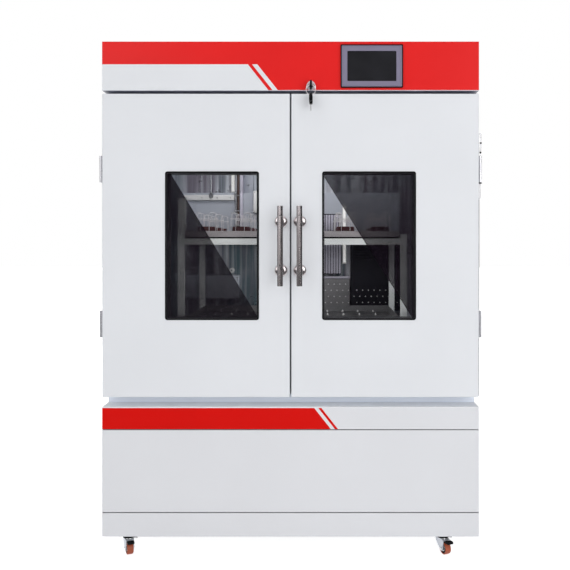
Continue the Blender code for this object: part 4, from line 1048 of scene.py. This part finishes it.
low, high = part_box("spare_key")
y, wide = (low.y + high.y) / 2, high.y - low.y
grips = Piece("black")
for edge, side in ((low.x, -1), (high.x, 1)):
    rings = []
    for z, reach, share in GRIP:
        half, far = share * wide / 2, edge + side * reach
        ring = ((edge, -half), (far, 0.002 - half), (far, half - 0.002), (edge, half))
        rings.append([(x, y + v, z) for x, v in ring])
    grips.skin(rings)
    blade = (low.x + high.x) / 2 + side * 0.0013
    grips.box((min(blade, edge), y - 0.009, 1.5100), (max(blade, edge), y + 0.009, 1.5180), 0.0006)
grips.done("spare_key_grips", "black_plastic", "hanging_key")

lock_x, lock_z = middle(*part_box("lock_barrel"))
egg = []
for u, w in circle(0, 0, 1, 40):
    egg.append((lock_x + 0.0160 * u * (1 - 0.17 * w), lock_z + (0.0192 if w > 0 else 0.0134) * w))
hole = circle(lock_x, lock_z, LOCK_HOLE, 40)
plate = Piece("nickel")
rings = ((egg, 0.0002), (egg, 0.0010), (hole, 0.0022), (hole, 0.0002))
plate.skin([[(x, FRONT - out, z) for x, z in line] for line, out in rings], closed=True)
plate.done("lock_escutcheon", "chrome")


# The rear, the sides and the top

SHEET_SCREW = (0.0045, 0.0008)  # radius and height. A sheet lies that height below its solid's face.
EDGES = (0.095, 1.705)  # the lowest and highest screws
VENT_COLUMN = (-0.52, -0.12)
TOP_VENT = (-0.10, 0.10, 1.60, 1.66)


def pierced_sheet(piece, xs, zs, y0, y1, holes):
    """An upright sheet over a grid, without the cells in holes."""
    bm = bmesh.new()
    corners = product(enumerate(xs), enumerate(zs), (y0, y1))
    grid = {(i, k, y): bm.verts.new((x, y, z)) for (i, x), (k, z), y in corners}
    cells = set(product(range(len(xs) - 1), range(len(zs) - 1))) - set(holes)
    for i, k in sorted(cells):
        square = [(i, k), (i + 1, k), (i + 1, k + 1), (i, k + 1)]
        for y in (y0, y1):
            bm.faces.new([grid[*corner, y] for corner in square])
        neighbours = [(i, k - 1), (i + 1, k), (i, k + 1), (i - 1, k)]
        for beside, first, second in zip(neighbours, square, square[1:] + square[:1]):
            if beside not in cells:
                bm.faces.new([grid[*first, y0], grid[*second, y0], grid[*second, y1], grid[*first, y1]])
    bmesh.ops.delete(bm, geom=[v for v in bm.verts if not v.link_faces], context="VERTS")
    return piece.take(bm)


def blades(piece, x0, x1, z0, z1, y0, y1, pitch=0.016, sheet=0.0012, drop=0.009):
    """Sloping vent blades across an opening."""
    count = int((z1 - z0) / pitch)
    for k in range(count):
        z = z0 + (k + 0.25) * (z1 - z0) / count
        section = [(y1, z), (y1, z + sheet), (y0, z + sheet + drop), (y0, z + drop)]
        piece.skin([[(x, y, w) for y, w in section] for x in (x0 - 0.002, x1 + 0.002)])


low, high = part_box("rear_panel")
back = high.y - SHEET_SCREW[1]
inlet_low, inlet_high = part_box("power_inlet")
slack = 0.0004
xs = [low.x, *VENT_COLUMN, *TOP_VENT[:2], 0.12, inlet_low.x - slack, inlet_high.x + slack, 0.52, high.x]
zs = [low.z, 0.17, inlet_low.z - slack, inlet_high.z + slack, 0.41, *TOP_VENT[2:], high.z]
rear = Piece("white", "bolt")
pierced_sheet(rear, xs, zs, low.y, back, [(1, 1), (1, 2), (1, 3), (3, 5), (6, 2)])
blades(rear, xs[1], xs[2], zs[1], zs[4], back - 0.009, back - 0.0002)
blades(rear, *TOP_VENT, back - 0.009, back - 0.0002, 0.014)
places = product((-0.61, -0.305, 0.0, 0.305, 0.61), (EDGES[0], 0.505, 0.915, 1.325, EDGES[1]))
centres = [(x, back, z) for x, z in places if abs(x) > 0.6 or z in EDGES]
rear.screws(centres, "+y", *SHEET_SCREW)
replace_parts(rear.done("rear_sheet", "white_paint"), "rear_panel")

x, z = middle(inlet_low, inlet_high)
pins = Piece("brass")
for dx, dz in ((-0.007, -0.002), (0.007, -0.002), (0.0, 0.002)):
    start = (x + dx - 0.001, inlet_high.y - 0.0182, z + dz - 0.002)
    pins.box(start, (x + dx + 0.001, inlet_high.y - 0.003, z + dz + 0.002), 0.0003)
pins.done("inlet_pins", "bright_steel")

SIDE_FACE = 0.63
HOOD = [(0, 0), (0.0034, 0.0012), (0.0040, 0.004), (0.0030, 0.009), (0, 0.014)]  # out and up
HOOD_ENDS = ((0, 0.1), (0.010, 1), (0.090, 1), (0.100, 0.1))  # along, and the share of its depth

for side, out, sign in SIDES:
    piece = Piece("white", "bolt")
    for y, k in product((0.10, 0.23), range(7)):
        z = 0.175 + k * 0.026
        piece.skin([[(sign * (SIDE_FACE + u * share - 0.0002), y + far, z + w) for u, w in HOOD]
                    for far, share in HOOD_ENDS])
    places = product((-0.275, 0.065, 0.415), (EDGES[0], 0.50, 1.10, 1.70))
    centres = [(sign * SIDE_FACE, y, z) for y, z in places if y != 0.065 or z in (EDGES[0], 1.70)]
    piece.screws(centres, out, 0.0045, 0.0016)
    piece.done(f"{side}_side_fittings", "white_paint")

low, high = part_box("top_panel")
face = high.z - SHEET_SCREW[1]
top = Piece("white", "bolt", "black").box(low, (high.x, high.y, face), 0.0003)
centres = product((-0.61, -0.305, 0.0, 0.305, 0.61), (-0.28, 0.415), [face])
top.screws(centres, "+z", *SHEET_SCREW)
plug = [(0.0160, -0.0001), (0.0160, 0.0004), (0.0150, 0.0008), (0.004, 0.0008)]
top.use("black").turned((0.45, 0.30, face), "z", plug, 28)
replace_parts(top.done("top_sheet", "white_paint"), "top_panel")


# The stage


def make_stage():
    """A floor that the camera sees as white, and metal as dark further out in front."""
    bm = bmesh.new()
    bmesh.ops.create_grid(bm, x_segments=1, y_segments=1, size=30)
    floor = linked("studio_floor", mesh_from(bm, "studio_floor"))
    floor.location.z = -0.0002
    f = Finish(0.9)
    grain = f.spread(f.noise(30, 3), 0, 1)
    path = f.node("LightPath").outputs
    x, y, _ = f.axes()
    glossy = f.times(path["Is Glossy Ray"], f.spread(y, 0.05, 1.0, -1.5, -0.7))
    dark = f.minus(path["Is Glossy Ray"], glossy)
    f.set("Base Color", f.mix(dark, f.tinted((0.86, 0.86, 0.86), grain, 0.01), (0.0, 0.0, 0.0)))
    seen = f.most(path["Is Camera Ray"], glossy)
    seen = f.most(seen, path["Is Transmission Ray"])
    f.set("Emission Color", (1, 1, 1, 1))
    f.set("Emission Strength", f.times(seen, f.spread(f.length(x, y), 0.80, 1.0, 0.9, 3.2)))
    floor.data.materials.append(f.material)


WORLD_LIGHT = 0.37


def make_world():
    """White behind all that the camera sees.

    Metal sees a studio with dark flags before it and at its sides.
    """
    world = bpy.data.worlds.new("studio")
    bpy.context.scene.world = world
    world.use_nodes = True
    w = Wiring(world.node_tree)
    w.tree.nodes.clear()
    path = w.node("LightPath").outputs
    x, y, _ = w.node("SeparateXYZ", w.node("TexCoord").outputs["Generated"]).outputs
    ahead = w.spread(y, 0.05, 1.0, -0.955, -0.89)
    right = w.spread(x, 1.0, 0.05, 0.66, 0.80)
    left = w.most(w.spread(y, 1.0, 0.12, 0.0, 0.2), w.spread(x, 0.0, 1.0, -0.6, -0.3))
    behind = w.spread(y, 1.0, 0.35, 0.0, 0.25)
    flags = w.times(w.times(ahead, right), w.times(left, behind))
    straight = w.most(path["Is Camera Ray"], path["Is Transmission Ray"])
    strength = w.most(straight, w.times(path["Is Glossy Ray"], flags))
    seen = w.most(straight, path["Is Glossy Ray"])
    lit = w.node("Background", (1, 1, 1, 1), WORLD_LIGHT)
    shown = w.node("Background", (1, 1, 1, 1), strength)
    w.node("OutputWorld", w.node("MixShader", seen, lit.outputs[0], shown.outputs[0]).outputs[0])


def make_lamp(name, place, aim, size, power, glossy=True):
    light = bpy.data.lights.new(name, "AREA")
    light.shape = "RECTANGLE"
    light.size, light.size_y = size
    light.energy = power
    lamp = linked(name, light)
    lamp.location = place
    lamp.rotation_euler = (Vector(aim) - Vector(place)).to_track_quat("-Z", "Y").to_euler()
    lamp.visible_camera = False
    lamp.visible_glossy = glossy


make_stage()
make_world()
make_lamp("key_left", (-2.6, -4.2, 2.6), (0, 0, 0.9), (2.4, 2.4), 39)
make_lamp("fill_right", (2.8, -4.0, 2.0), (0, 0, 0.9), (2.4, 2.4), 56)
make_lamp("top", (0, -0.6, 4.6), (0, 0, 0.9), (3.0, 2.0), 40)
make_lamp("low_front", (0.5, -4.2, 0.45), (0.1, 0, 0.55), (3.0, 0.5), 34, glossy=False)
make_lamp("rear", (-2.2, 4.6, 2.4), (0, 0, 0.9), (2.6, 2.6), 60, glossy=False)
make_lamp("chamber", (0, -0.05, 1.495), (0, -0.05, 0.9), (0.9, 0.2), 3.45, glossy=False)
make_lamp("lower_chamber", (0, -0.05, 1.03), (0, -0.05, 0.8), (0.7, 0.3), 1.35, glossy=False)

camera_data = bpy.data.cameras.new("photo_view")
camera_data.lens = 44.4
camera_data.sensor_width = 36
camera_data.shift_x = -0.0667
camera_data.shift_y = -0.0702
camera = linked("photo_view", camera_data)
camera.location = (0.1086, FRONT - 2.35, 1.045)
camera.rotation_euler = (pi / 2, 0, 0)
bpy.context.scene.camera = camera
bpy.context.scene.view_settings.view_transform = "Standard"
